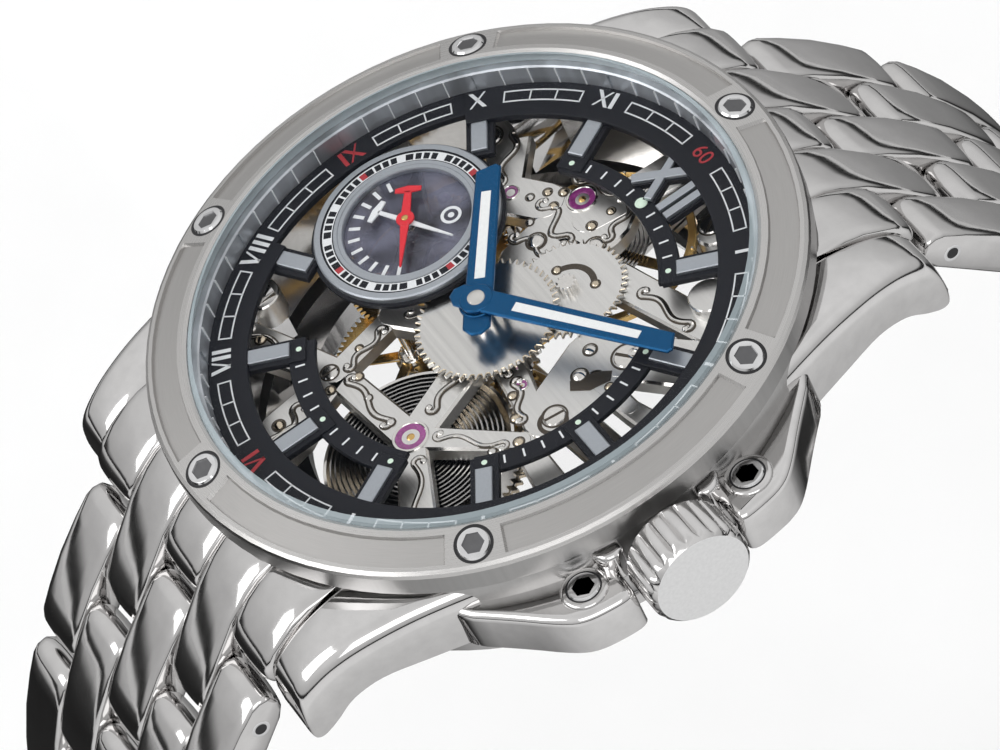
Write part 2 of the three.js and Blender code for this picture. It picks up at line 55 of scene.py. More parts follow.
# Head
BEZEL_OUT, BEZEL_IN = 22.2, 19.06
SCREW_CIRCLE = 20.6
PANEL_HALF, PANEL_FLOOR = 24.8, 24.4     # degrees from the middle of a bezel panel
CASE_SEAT = 9.6
GLASS_LOW, GLASS_TOP = 11.6, 12.8
CROWN_Z, CROWN_R = 7.3, 3.6
GUARD_GAP, GUARD_SCREW = 3.75, (22.4, 6.2)
LUG_IN = 12.0
SUB = (-10.0, 0.0)
# Bracelet
COLUMN, COLUMN_W = 4.72, 4.6
HALF_PITCH, PIN_R = 6.2, 0.48
FIRST_PIN = (26.85, 1.9)
FALL = (47, 55.5, 64, 73, 84, 88, 91, 94, 97, 100)
# Hands, degrees anticlockwise from three o'clock
HOUR_ANGLE, MINUTE_ANGLE = 145.8, 31.5
RED_ANGLE, WHITE_ANGLE = -35.0, 27.0
# Movement
BARREL = (3.9, -8.5)
THIRD = (-5.8, -4.4)
ESCAPE = (-9.0, 6.4)
FORK = (-6.5, 8.0)
BALANCE = (-3.0, 9.5)
MINUTE_WHEEL = (1.3, 5.43)
PLATE_LOW, PLATE_TOP = 6.8, 7.9


# ------------------------------------------------------------------ materials
STRETCH = {"along_x": (0.03, 1, 1), "along_y": (1, 0.03, 1), "along_z": (1, 1, 0.03)}
NOISE_DETAIL = 3.0
TINT_STOPS = (0.3, 0.7)     # where on the noise the darker and the lighter tint sit
BUMP_DEPTH = 0.00002
ROUND_FACTOR, RADIUS_FACTOR = 0.001, 4.0     # noise is stretched along the circle
INPUT_NAMES = {"alpha": "Alpha", "coat_weight": "Coat Weight", "specular_ior_level": "Specular IOR Level"}


def node(tree, kind, inputs=(), **settings):
    """Adds a node to a tree; inputs pairs each socket with a value or with the output that feeds it."""
    made = tree.nodes.new(kind)
    for key, value in settings.items():
        setattr(made, key, value)
    connect(tree, made, inputs)
    return made


def connect(tree, made, inputs):
    for key, value in inputs:
        if isinstance(value, bpy.types.NodeSocket):
            tree.links.new(value, made.inputs[key])
        else:
            made.inputs[key].default_value = value


def finish(name, color, metallic=0.0, kind="even", scale=3000.0, low=0.1, high=0.25, bump=0.1, tint=0.04,
           **inputs):
    """Material whose noise drives its roughness, a little colour and a bump; kind directs the grain."""
    mat = bpy.data.materials.new(name)
    mat.use_nodes = True
    tree = mat.node_tree
    bsdf = tree.nodes["Principled BSDF"]
    vector = node(tree, "ShaderNodeTexCoord").outputs["Object"]
    if kind == "circle":
        vector = round_grain(tree, vector)
    elif kind in STRETCH:
        stretch = node(tree, "ShaderNodeMapping", [("Scale", STRETCH[kind]), ("Vector", vector)])
        vector = stretch.outputs["Vector"]
    noise = node(tree, "ShaderNodeTexNoise", [("Scale", scale), ("Detail", NOISE_DETAIL),
                                              ("Vector", vector)])
    rough = node(tree, "ShaderNodeMapRange", [("To Min", low), ("To Max", high),
                                              ("Value", noise.outputs["Fac"])])
    ramp = node(tree, "ShaderNodeValToRGB", [("Fac", noise.outputs["Fac"])])
    for stop, place, share in zip(ramp.color_ramp.elements, TINT_STOPS, (1 - tint, 1 + tint)):
        stop.position = place
        stop.color = (*[min(1.0, c * share) for c in color], 1)
    connect(tree, bsdf, [("Metallic", metallic), ("Roughness", rough.outputs["Result"]),
                         ("Base Color", ramp.outputs["Color"])])
    connect(tree, bsdf, [(INPUT_NAMES[key], value) for key, value in inputs.items()])
    if bump:
        lift = node(tree, "ShaderNodeBump",
                    [("Strength", bump), ("Distance", BUMP_DEPTH), ("Height", noise.outputs["Fac"])])
        connect(tree, bsdf, [("Normal", lift.outputs["Normal"])])
    return mat


def round_grain(tree, vector):
    """Coordinates that run round the dial's axis, so that noise draws circles."""
    split = node(tree, "ShaderNodeSeparateXYZ", [(0, vector)])
    x, y = split.outputs["X"], split.outputs["Y"]
    angle = node(tree, "ShaderNodeMath", [(0, y), (1, x)], operation="ARCTAN2")
    flat = node(tree, "ShaderNodeCombineXYZ", [(0, x), (1, y)])
    radius = node(tree, "ShaderNodeVectorMath", [(0, flat.outputs[0])], operation="LENGTH")
    scaled = [node(tree, "ShaderNodeMath", [(0, output), (1, factor)], operation="MULTIPLY").outputs[0]
              for output, factor in ((angle.outputs[0], ROUND_FACTOR),
                                     (radius.outputs["Value"], RADIUS_FACTOR))]
    return node(tree, "ShaderNodeCombineXYZ", [(0, scaled[0]), (1, scaled[1])]).outputs[0]


POLISH = finish("polished_steel", (0.70, 0.69, 0.685), 1.0, scale=900, low=0.05, high=0.09, bump=0.02)
BAND = finish("satin_band", (0.42, 0.415, 0.41), 1.0, "along_z", 2500, 0.26, 0.36, 0.05)
LINK = finish("polished_link", (0.64, 0.63, 0.625), 1.0, scale=700, low=0.06, high=0.11, bump=0.02)
INNER = finish("satin_underside", (0.6, 0.6, 0.61), 1.0, "along_y", 4000, 0.28, 0.42, 0.1)
PANEL = finish("brushed_panel", (0.47, 0.46, 0.45), 1.0, "circle", 9000, 0.32, 0.46, 0.2, 0.06)
RIM = finish("satin_bezel", (0.58, 0.57, 0.56), 1.0, "circle", 6000, 0.22, 0.34, 0.1, 0.04)
SATIN = finish("satin_steel", (0.88, 0.88, 0.88), 1.0, scale=4000, low=0.3, high=0.42, bump=0.05)
# brushed steel whose wide streaks of lighter and darker tint are painted reflections
FLANGE_PAINTED_REFLECTION = finish("brushed_flange_painted_reflection", (0.62, 0.65, 0.69), 0.9, "along_z", 420, 0.38, 0.5, 0.0, 0.3)
SCREW = finish("screw_steel", (0.78, 0.78, 0.785), 1.0, scale=1500, low=0.08, high=0.16, bump=0.02)
# steel of the hex socket darkened: painted shade in the recess
SOCKET_PAINTED_SHADE = finish("screw_socket_painted_shade", (0.16, 0.16, 0.165), 1.0, low=0.3, high=0.45)
# near-black painted shade, laid as thin sheets in the gaps, notches and holes of the steel
PAINTED_SHADE_FILL = finish("painted_shade_fill", (0.02, 0.02, 0.022), 0.3, low=0.35, high=0.5)
BLACK = finish("dial_black", (0.010, 0.011, 0.016), scale=5000, low=0.4, high=0.55, bump=0.1,
               specular_ior_level=0.25)
SILVER = finish("dial_silver", (0.46, 0.49, 0.53), 0.85, scale=6000, low=0.34, high=0.46, bump=0.1)
WHITE = finish("printed_white", (0.80, 0.82, 0.84), scale=4000, low=0.4, high=0.5)
RED_PRINT = finish("printed_red", (0.42, 0.03, 0.04), scale=4000, low=0.4, high=0.5)
LUME = finish("pale_green_lume", (0.70, 0.86, 0.72), scale=3000, low=0.45, high=0.6, tint=0.05)
LUME_WHITE = finish("white_lume", (0.86, 0.88, 0.88), scale=3000, low=0.45, high=0.6, tint=0.03)
BLUE = finish("blued_steel", (0.004, 0.085, 0.22), 0.7, "even", 5000, 0.26, 0.4, 0.15, 0.1)
RED = finish("red_lacquer", (0.72, 0.02, 0.035), 0.0, scale=2000, low=0.2, high=0.3)
NICKEL = finish("satin_nickel", (0.82, 0.81, 0.79), 1.0, "along_x", 5000, 0.3, 0.42, 0.12, 0.05)
CIRCLED = finish("circled_nickel", (0.74, 0.73, 0.71), 1.0, "along_x", 2600, 0.16, 0.26, 0.1, 0.1)
BRIGHT = finish("bright_nickel", (0.80, 0.78, 0.75), 1.0, scale=1500, low=0.08, high=0.2, bump=0.05)
WARM = finish("warm_nickel", (0.72, 0.62, 0.48), 1.0, scale=2500, low=0.12, high=0.26, bump=0.05, tint=0.12)
GILT = finish("gilt_brass", (0.78, 0.52, 0.20), 1.0, scale=2500, low=0.14, high=0.26, bump=0.05, tint=0.1)
SPRING = finish("spring_steel", (0.42, 0.41, 0.40), 1.0, scale=3000, low=0.12, high=0.24, bump=0.05)
# dark brown painted shade for engraved grooves, screw slots and the gaps round screws and beads
GROOVE_PAINTED_SHADE = finish("groove_painted_shade", (0.10, 0.085, 0.07), 0.9, scale=3000, low=0.25, high=0.4)
RUBY = finish("ruby", (0.30, 0.05, 0.24), 0.1, scale=2500, low=0.08, high=0.15, tint=0.25, coat_weight=1.0)
GLASS = finish("crystal_top", (0.02, 0.025, 0.03), 0.0, scale=300, low=0.01, high=0.03, bump=0, alpha=0.03)
EDGE = finish("crystal_edge", (0.56, 0.66, 0.70), 0.0, scale=300, low=0.05, high=0.12, bump=0, alpha=0.5)
# smoked glass colour, with a strong patchy tint that is painted reflection
SMOKE_PAINTED_REFLECTION = finish("smoked_window", (0.14, 0.145, 0.20), 0.3, scale=420, low=0.1, high=0.2, bump=0, tint=0.75,
               alpha=0.6)
RUBBER = finish("seal_rubber", (0.02, 0.02, 0.02), scale=3000, low=0.6, high=0.75)


# -------------------------------------------------------------------- shaping
class Shape:
    """Collects solids in one mesh, in millimetres, each face with a material."""

    def __init__(self, name):
        self.name = name
        self.bm = bmesh.new()
        self.mats = []
        self.turn = Matrix.Identity(4)

    def slot(self, mat):
        if mat not in self.mats:
            self.mats.append(mat)
        return self.mats.index(mat)

    def vert(self, x, y, z):
        return self.bm.verts.new(self.turn @ Vector((x, y, z)))

    def face(self, verts, mat):
        made = self.bm.faces.new(verts)
        made.material_index = self.slot(mat)
        return made

    def loft(self, rings, mat, closed=False, caps=True, cap_mat=None):
        """Joins rings of [x, y, z] points, all of the same length, and closes the ends."""
        made = [[self.vert(*p) for p in one] for one in rings]
        count = len(made[0])
        pairs = list(zip(made, made[1:]))
        if closed:
            pairs.append((made[-1], made[0]))
        for low, high in pairs:
            for i in range(count):
                j = (i + 1) % count
                self.face((low[i], low[j], high[j], high[i]), mat)
        if caps and not closed:
            self.face(list(reversed(made[0])), cap_mat or mat)
            self.face(made[-1], cap_mat or mat)

    def plate(self, outline, z0, z1, mat, edge=0.06, edge_mat=None):
        """Flat plate of an outline of [x, y] points with a small chamfer round its top."""
        rings = [[self.vert(x, y, z) for x, y in points]
                 for points, z in ((outline, z0), (outline, z1 - edge), (inset(outline, edge), z1))]
        count = len(outline)
        for low, high, paint in zip(rings, rings[1:], (mat, edge_mat or mat)):
            for i in range(count):
                j = (i + 1) % count
                self.face((low[i], low[j], high[j], high[i]), paint)
        self.face(list(reversed(rings[0])), mat)
        self.face(rings[-1], mat)

    def pillow(self, outline, z0, z1, mat, edge):
        """Plate whose top edge is a quarter round."""
        rings = [[(x, y, z0) for x, y in outline]]
        for degrees in (0, 20, 40, 60, 80, 90):
            a = math.radians(degrees)
            height = z1 - edge * (1 - math.sin(a))
            rings.append([(x, y, height) for x, y in inset(outline, max(edge * (1 - math.cos(a)), 0.001))])
        self.loft(rings, mat)

    def disc(self, x, y, r, z0, z1, mat, edge=0.06, count=32, edge_mat=None):
        self.plate(round_outline(x, y, r, count), z0, z1, mat, edge, edge_mat)

    def strip(self, angle, x0, x1, half, z0, z1, mat, edge=0.005, centre=(0.0, 0.0)):
        """Straight bar that points away from a centre at an angle."""
        self.plate(turned(box(x0, x1, -half, half), angle, centre), z0, z1, mat, edge)

    def arbor(self, centre, r, z0, z1):
        """Turned axle of a wheel."""
        self.disc(*centre, r, z0, z1, BRIGHT, 0.05, 16)

    def washer(self, x, y, r0, r1, z0, z1, mat, edge=0.05, count=64):
        profile = [(r0, z0), (r1, z0), (r1, z1 - edge), (r1 - edge, z1), (r0 + edge, z1), (r0, z1 - edge)]
        self.spin(profile, mat, count, x, y)

    def spin(self, profile, mat, count=96, x=0.0, y=0.0, mats=None, start=0.0, sweep=360.0):
        """Turns a closed [radius, height] outline about a vertical axis at x, y."""
        whole = sweep >= 360.0
        steps = count if whole else count + 1
        rings = []
        for k in range(steps):
            a = math.radians(start + sweep * k / count)
            rings.append([self.vert(x + r * math.cos(a), y + r * math.sin(a), z) for r, z in profile])
        for k in range(count):
            one, two = rings[k], rings[(k + 1) % steps]
            for i in range(len(profile)):
                j = (i + 1) % len(profile)
                self.face((one[i], two[i], two[j], one[j]), (mats or {}).get(i, mat))
        if not whole:
            self.face(list(rings[0]), mat)
            self.face(list(reversed(rings[-1])), mat)

    def bar(self, p, q, width, z0, z1, mat, edge=0.06, edge_mat=None, end=None, steps=6):
        """Arm with round ends; its width may change from one end to the other."""
        a = math.atan2(q[1] - p[1], q[0] - p[0])
        r, s = width / 2, (end or width) / 2
        points = []
        for centre, radius, base in ((p, r, a + math.pi / 2), (q, s, a - math.pi / 2)):
            for i in range(steps + 1):
                t = base + i * math.pi / steps
                points.append((centre[0] + radius * math.cos(t), centre[1] + radius * math.sin(t)))
        self.plate(points, z0, z1, mat, edge, edge_mat)

    def tube(self, path, radius, mat, count=8, squash=1.0):
        """Round wire along a list of [x, y, z] points."""
        rings = []
        for i, point in enumerate(path):
            here = Vector(point)
            ahead = Vector(path[min(i + 1, len(path) - 1)])
            behind = Vector(path[max(i - 1, 0)])
            along = (ahead - behind).normalized()
            side = along.cross(Vector((0, 0, 1)))
            if side.length < 1e-6:
                side = Vector((1, 0, 0))
            side.normalize()
            up = side.cross(along).normalized()
            ring = []
            for k in range(count):
                t = 2 * math.pi * k / count
                ring.append(tuple(here + side * radius * math.cos(t) + up * radius * squash * math.sin(t)))
            rings.append(ring)
        self.loft(rings, mat)

    def dome(self, x, y, r, z, mat, height=0.5, count=16):
        rings = []
        for k in range(5):
            t = k / 4 * math.pi / 2
            rings.append(ring3(x, y, max(r * math.cos(t), 0.01), z + r * height * math.sin(t), count))
        self.loft(rings, mat)

    def done(self, body, replaces=(), sharp=32.0, bevel=0.0):
        """Makes the object, rides it on its body and hides the nodes it stands for."""
        bmesh.ops.recalc_face_normals(self.bm, faces=self.bm.faces)
        mesh = bpy.data.meshes.new(self.name)
        bmesh.ops.scale(self.bm, vec=(MM, MM, MM), verts=self.bm.verts)
        self.bm.to_mesh(mesh)
        self.bm.free()
        for mat in self.mats:
            mesh.materials.append(mat)
        mesh.shade_smooth()
        mesh.set_sharp_from_angle(angle=math.radians(sharp))
        piece = bpy.data.objects.new(self.name, mesh)
        bpy.context.scene.collection.objects.link(piece)
        if bevel:
            mod = piece.modifiers.new("edges", "BEVEL")
            mod.width = bevel * MM
            mod.segments = 2
            mod.limit_method = "ANGLE"
            mod.angle_limit = math.radians(30)
            mod.harden_normals = True
        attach(piece, body)
        if replaces:
            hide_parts(*replaces)
        return piece


def inset(outline, distance):
    """The outline moved inwards by a distance, corner by corner."""
    count = len(outline)
    area = sum(outline[i][0] * outline[(i + 1) % count][1] - outline[(i + 1) % count][0] * outline[i][1]
               for i in range(count))
    sign = 1.0 if area > 0 else -1.0
    moved = []
    for i in range(count):
        here, before, after = Vector(outline[i]), Vector(outline[i - 1]), Vector(outline[(i + 1) % count])
        d1, d2 = (here - before).normalized(), (after - here).normalized()
        n1, n2 = Vector((-d1.y, d1.x)) * sign, Vector((-d2.y, d2.x)) * sign
        mid = n1 + n2
        if mid.length < 1e-6:
            mid = n1
        mid.normalize()
        moved.append(tuple(here + mid * min(distance / max(mid.dot(n1), 0.4), distance * 2)))
    return moved


def softened(outline, passes=2):
    """The outline with its corners cut again and again, which rounds them."""
    for _ in range(passes):
        pairs = list(zip(outline, outline[1:] + outline[:1]))
        outline = [tuple(share * a + (1 - share) * b for a, b in zip(here, after))
                   for here, after in pairs for share in (0.75, 0.25)]
    return outline


def box(x0, x1, y0, y1):
    """Corners of an upright rectangle."""
    return [(x0, y0), (x1, y0), (x1, y1), (x0, y1)]


def sideways(x, y, z, sign=1):
    """Placement whose own axis lies along the crown's axis."""
    return Matrix.Translation(Vector((x, y, z))) @ Matrix.Rotation(sign * math.pi / 2, 4, "Y")


def round_outline(x, y, r, count=32):
    return [(x + r * math.cos(2 * math.pi * k / count), y + r * math.sin(2 * math.pi * k / count))
            for k in range(count)]


def ring3(x, y, r, z, count):
    return [(px, py, z) for px, py in round_outline(x, y, r, count)]


def polar(r, degrees, centre=(0.0, 0.0)):
    a = math.radians(degrees)
    return (centre[0] + r * math.cos(a), centre[1] + r * math.sin(a))


def band(r0, r1, a0, a1, steps=12):
    """Outline of a sector band between two angles in degrees."""
    outer = [polar(r1, a0 + (a1 - a0) * k / steps) for k in range(steps + 1)]
    inner = [polar(r0, a1 - (a1 - a0) * k / steps) for k in range(steps + 1)]
    return outer + inner


def turned(points, degrees, centre=(0.0, 0.0)):
    c, s = math.cos(math.radians(degrees)), math.sin(math.radians(degrees))
    return [(centre[0] + x * c - y * s, centre[1] + x * s + y * c) for x, y in points]


def gear(centre, root, tip, teeth):
    """Outline of a wheel with blunt rounded teeth."""
    points = []
    for k in range(teeth):
        for share, r in ((-0.34, root), (-0.2, (root + tip) / 2), (-0.1, tip), (0.1, tip),
                         (0.2, (root + tip) / 2), (0.34, root)):
            points.append(polar(r, (k + share) * 360.0 / teeth, centre))
    return points


# ----------------------------------------------------------------------- case
HEX_CORNER = 0.72           # socket of a screw, centre to corner
BEZEL_SLOPE = 0.75 / 2.6    # fall of the bezel's top towards its rim


def bezel_height(r):
    return 12.55 - (r - 19.3) * BEZEL_SLOPE


def screw_head(name, place, tilt, body, node_name):
    """Round head with a six-sided socket, leaning outwards by tilt degrees about its place."""
    shape = Shape(name)
    x, y, z = place
    lean = Matrix.Rotation(math.radians(tilt), 4, Vector((-y, x,
                                                          0)).normalized()) if tilt else Matrix.Identity(4)
    shape.turn = Matrix.Translation(Vector(place)) @ lean
    count = 48
    hexagon = []
    for k in range(count):
        t = 2 * math.pi * k / count
        r = HEX_CORNER * math.cos(math.pi / 6) / math.cos((t % (math.pi / 3)) - math.pi / 6)
        hexagon.append((r * math.cos(t), r * math.sin(t)))
    head = [ring3(0, 0, 1.12, -1.2, count), ring3(0, 0, 1.12, -0.02, count), ring3(0, 0, 1.02, 0.12, count),
            ring3(0, 0, 0.93, 0.14, count), [(px * 1.06, py * 1.06, 0.12) for px, py in hexagon],
            [(px, py, 0.02) for px, py in hexagon]]
    shape.loft(head, SCREW, caps=False)
    # socket walls carry painted shade
    socket = [[(px, py, 0.02) for px, py in hexagon], [(px * 0.96, py * 0.96, -0.75) for px, py in hexagon]]
    shape.loft(socket, SOCKET_PAINTED_SHADE)
    shape.done(body, [node_name], sharp=25)


def make_bezel():
    shape = Shape("bezel_ring")
    radii = (19.3, 19.72, 19.8, 20.7, 21.55, 21.63, 21.9)
    angles = []
    for sector in range(6):
        mid = 60.0 * sector
        for step in (-30, -28, -26, -PANEL_HALF, -PANEL_FLOOR, *range(-20, 21, 4), PANEL_FLOOR, PANEL_HALF,
                     26, 28):
            angles.append((mid + step, abs(step) <= PANEL_FLOOR))
    grid = []
    for a, panel in angles:
        column = [shape.vert(*polar(BEZEL_IN, a), z) for z in (10.0, 12.42)]
        for r in radii:
            sunk = 0.22 if panel and 19.8 <= r <= 21.55 else 0.0
            column.append(shape.vert(*polar(r, a), bezel_height(r) - sunk))
        for r, z in ((22.12, 11.62), (BEZEL_OUT, 11.35), (BEZEL_OUT, 9.95), (22.02, 9.75),
                     (22.02, CASE_SEAT), (BEZEL_IN, CASE_SEAT)):
            column.append(shape.vert(*polar(r, a), z))
        grid.append((column, panel))
    for k in range(len(grid)):
        one, two = grid[k], grid[(k + 1) % len(grid)]
        for i in range(len(one[0])):
            j = (i + 1) % len(one[0])
            sunk = one[1] and two[1] and i in (4, 5)
            mat = PANEL if sunk else (RIM if 1 <= i <= 9 else BAND)
            shape.face((one[0][i], two[0][i], two[0][j], one[0][j]), mat)
    for k in range(6):
        x, y = polar(SCREW_CIRCLE, 30 + 60 * k)
        z = bezel_height(SCREW_CIRCLE)
        slope = math.atan(BEZEL_SLOPE)
        lean = Matrix.Rotation(slope, 4, Vector((-y, x, 0)).normalized())
        shape.turn = Matrix.Translation(Vector((x, y, z))) @ lean
        # ring of painted shade for the gap round the screw head
        shape.spin(box(1.12, 1.3, -0.05, 0.012), PAINTED_SHADE_FILL, 40)
        shape.turn = Matrix.Identity(4)
        screw_head(f"bezel_screw_head_{k + 1}", (x, y, z + 0.02), math.degrees(slope), "case",
                   f"bezel_screw_{k + 1}")
    shape.done("case", ["bezel"], sharp=14)


# y, outer x, top, underside
LUG_STATIONS = (
    (9.5, 19.2, 9.4, 4.4), (13.0, 18.1, 9.4, 4.4), (16.0, 17.3, 9.35, 4.55), (19.0, 16.6, 9.05, 4.75),
    (21.2, 16.1, 8.5, 4.1), (22.7, 15.8, 7.8, 2.9), (23.8, 15.6, 7.0, 2.2), (24.4, 15.5, 6.1, 2.3),
    (24.6, 15.4, 5.0, 3.1),
)


def between(p, q, r, w, t):
    """Smooth curve from q to r; p and w are the values before and after them."""
    square, cube = (2 * p - 5 * q + 4 * r - w) * t ** 2, (3 * q - p - 3 * r + w) * t ** 3
    return 0.5 * (2 * q + (r - p) * t + square + cube)


def smooth_stations(stations, steps=4):
    """Passes a smooth curve through rows of numbers."""
    rows = []
    for k in range(len(stations) - 1):
        around = [stations[min(max(k + step, 0), len(stations) - 1)] for step in (-1, 0, 1, 2)]
        for step in range(steps):
            rows.append([between(*values, step / steps) for values in zip(*around)])
    rows.append(list(stations[-1]))
    return rows


def add_lug(shape, sx, sy):
    """One lug, lofted along the bracelet; sx and sy pick its corner."""
    rings = []
    for y, outer, top, low in smooth_stations(LUG_STATIONS):
        ring = [(LUG_IN, low + 0.2), (LUG_IN, top - 0.3), (LUG_IN + 0.09, top - 0.09), (LUG_IN + 0.3, top)]
        for degrees in range(90, -1, -15):
            c, d = math.cos(math.radians(degrees)), math.sin(math.radians(degrees))
            ring.append((outer - 1.2 + 1.2 * c, top - 1.5 + 1.42 * d))
        ring += [(outer + 0.02, (top + low) / 2 - 0.4), (outer - 0.12, low + 0.15), (outer - 0.3, low)]
        rings.append([(sx * x, sy * y, z) for x, z in ring])
    shape.loft(rings, POLISH)


def add_guard(shape, sy):
    """One crown guard: wing from the band, pad round its screw, and the shoulder block under the bezel."""
    def flip(points):
        return [(x, sy * y) for x, y in points]
    wing = flip([(19.6, GUARD_GAP + 0.05), (24.3, GUARD_GAP), (24.9, GUARD_GAP + 0.4), (24.85, 5.4),
                 (24.5, 7.4), (23.6, 8.7), (20.9, 11.0), (17.9, 13.8), (15.6, 13.2)])
    shape.pillow(softened(wing), 4.7, 8.0, POLISH, 0.6)
    shape.pillow(round_outline(GUARD_SCREW[0], GUARD_SCREW[1] * sy, 1.62, 40), 6.5, 8.22, POLISH, 0.28)
    # ring of painted shade for the gap round the guard screw
    shape.spin(box(1.02, 1.2, 8.0, 8.235), PAINTED_SHADE_FILL, 32, GUARD_SCREW[0], GUARD_SCREW[1] * sy)
    shoulder = flip([(20.0, 2.7), (21.8, 2.7), (22.25, 2.9), (22.5, 3.3), (22.5, 3.8), (22.3, 4.25),
                     (21.9, 4.5), (21.2, 4.8), (20.0, 5.2)])
    shape.pillow(softened(shoulder, 1), 6.9, 9.1, POLISH, 0.4)


def make_case():
    shape = Shape("case_band")
    shape.spin([(18.6, 2.0), (20.4, 2.0), (20.75, 2.35), (21.3, 3.6), (21.75, 5.6), (21.95, 7.6),
                (21.75, 9.2), (21.6, 9.58), (18.6, 9.58)], POLISH, 128, mats={4: BAND, 5: BAND, 6: BAND})
    for sx in (-1, 1):
        for sy in (-1, 1):
            add_lug(shape, sx, sy)
    for sy in (-1, 1):
        add_guard(shape, sy)
    shape.turn = sideways(0, 0, CROWN_Z)
    shape.spin([(0.8, 20.0), (1.55, 20.0), (1.55, 24.7), (1.4, 24.85), (0.8, 24.85)], POLISH, 32)
    shape.done("case", ["case_middle"], sharp=28, bevel=0.12)
    for number, sy in (("12", 1), ("6", -1)):
        screw_head(f"guard_screw_head_{number}", (GUARD_SCREW[0], GUARD_SCREW[1] * sy, 8.2), 0.0, "case",
                   f"guard_screw_{number}")


def make_back():
    shape = Shape("back_cover")
    shape.spin([(15.0, 0.05), (15.4, 0.0), (19.4, 0.0), (20.2, 0.8), (20.25, 1.95), (18.6, 2.0),
                (18.5, 2.75), (14.4, 2.75), (14.4, 1.2), (15.0, 1.2)], POLISH, 96, mats={1: PANEL})
    for k in range(6):
        # notches of the back ring drawn as plates of painted shade
        shape.plate(band(19.45, 20.6, 60 * k - 4, 60 * k + 4, 4), 0.0, 0.9, PAINTED_SHADE_FILL, 0.02)
    shape.done("case", ["back_ring"])
    pane = Shape("back_window")
    pane.spin([(0.01, 0.0), (14.7, 0.0), (14.98, 0.2), (14.98, 1.15), (0.01, 1.15)], GLASS, 64,
              mats={1: EDGE})
    pane.done("case", ["back_glass"])


def make_crystal():
    shape = Shape("front_crystal")
    profile = [(0.01, GLASS_LOW), (18.6, GLASS_LOW), (19.0, GLASS_LOW + 0.05), (19.03, 12.38),
               (18.9, 12.62), (18.6, GLASS_TOP), (0.01, GLASS_TOP)]
    shape.spin(profile, GLASS, 128, mats={2: EDGE, 3: EDGE, 4: EDGE})
    shape.done("case", ["crystal"], sharp=20)
    flange = Shape("inner_flange")
    # rehaut in brushed steel with painted reflection streaks
    flange.spin([(18.42, 10.1), (19.03, 10.1), (19.03, GLASS_LOW), (18.62, GLASS_LOW), (18.5, 11.5)],
                FLANGE_PAINTED_REFLECTION, 128)
    for k in range(60):
        flange.strip(6 * k, 18.36, 18.5, 0.03, 10.12, 11.5, WHITE if k % 5 else SILVER)
    flange.done("case", ["rehaut"])


def make_crown():
    shape = Shape("fluted_crown")
    shape.turn = sideways(0, 0, CROWN_Z)
    flutes, per = 22, 8
    rings = []
    for x, share, depth in ((22.95, 0.93, 0.0), (23.1, 0.97, 0.1), (23.35, 1.0, 1.0), (25.75, 1.0, 1.0),
                            (26.1, 0.985, 0.5), (26.3, 0.95, 0.0), (26.5, 0.9, 0.0)):
        ring = []
        for k in range(flutes * per):
            t = 2 * math.pi * k / (flutes * per)
            wave = abs(math.sin(flutes * t / 2)) ** 0.6
            r = CROWN_R * share - 0.34 * depth * (1 - wave)
            ring.append((r * math.cos(t), r * math.sin(t), x))
        rings.append(ring)
    shape.loft(rings, POLISH, cap_mat=SATIN)
    shape.disc(0, 0, 0.65, 17.7, 22.95, SCREW, 0.05)
    shape.done("crown", ["crown"], sharp=30)
    seal = Shape("crown_gasket")
    seal.turn = sideways(0, 0, CROWN_Z)
    seal.spin([(1.7, 23.02), (2.05, 23.0), (2.1, 23.3), (2.05, 23.6), (1.7, 23.58)], RUBBER, 32)
    seal.done("crown_seal", ["crown_seal"])


# ----------------------------------------------------------------------- dial
def numeral(shape, text, angle, r0, r1, z0, z1, mat, pitch, bold):
    """Roman numeral drawn with strokes, its top towards the rim."""
    widths = {"I": 0.55, "V": 1.15, "X": 1.2}
    total = sum(widths[c] for c in text) * pitch
    at = -total / 2
    height = r1 - r0
    for letter in text:
        w = widths[letter] * pitch
        mid = at + w / 2
        if letter == "I":
            strokes = [((mid, 0), (mid, 1), bold)]
        elif letter == "V":
            strokes = [((mid - w * 0.4, 1), (mid, 0), bold), ((mid + w * 0.4, 1), (mid, 0), bold * 0.5)]
        else:
            strokes = [((mid - w * 0.42, 1), (mid + w * 0.42, 0), bold),
                       ((mid + w * 0.42, 1), (mid - w * 0.42, 0), bold * 0.5)]
        for (ax, ay), (bx, by), thick in strokes:
            across = thick / 2
            quad = [(r0 + ay * height, -(ax - across)), (r0 + ay * height, -(ax + across)),
                    (r0 + by * height, -(bx + across)), (r0 + by * height, -(bx - across))]
            shape.plate(turned(quad, angle), z0, z1, mat, 0.02)
        at += w


def stroke(shape, p, q, width, z0, z1, mat):
    """Straight square-ended bar between two places on the dial."""
    along = (Vector(q) - Vector(p)).normalized()
    side = Vector((-along.y, along.x)) * width / 2
    corners = [tuple(Vector(p) + side), tuple(Vector(p) - side), tuple(Vector(q) - side),
               tuple(Vector(q) + side)]
    shape.plate(corners, z0, z1, mat, 0.04)


def hour_angle(hour):
    return 90.0 - 30.0 * hour


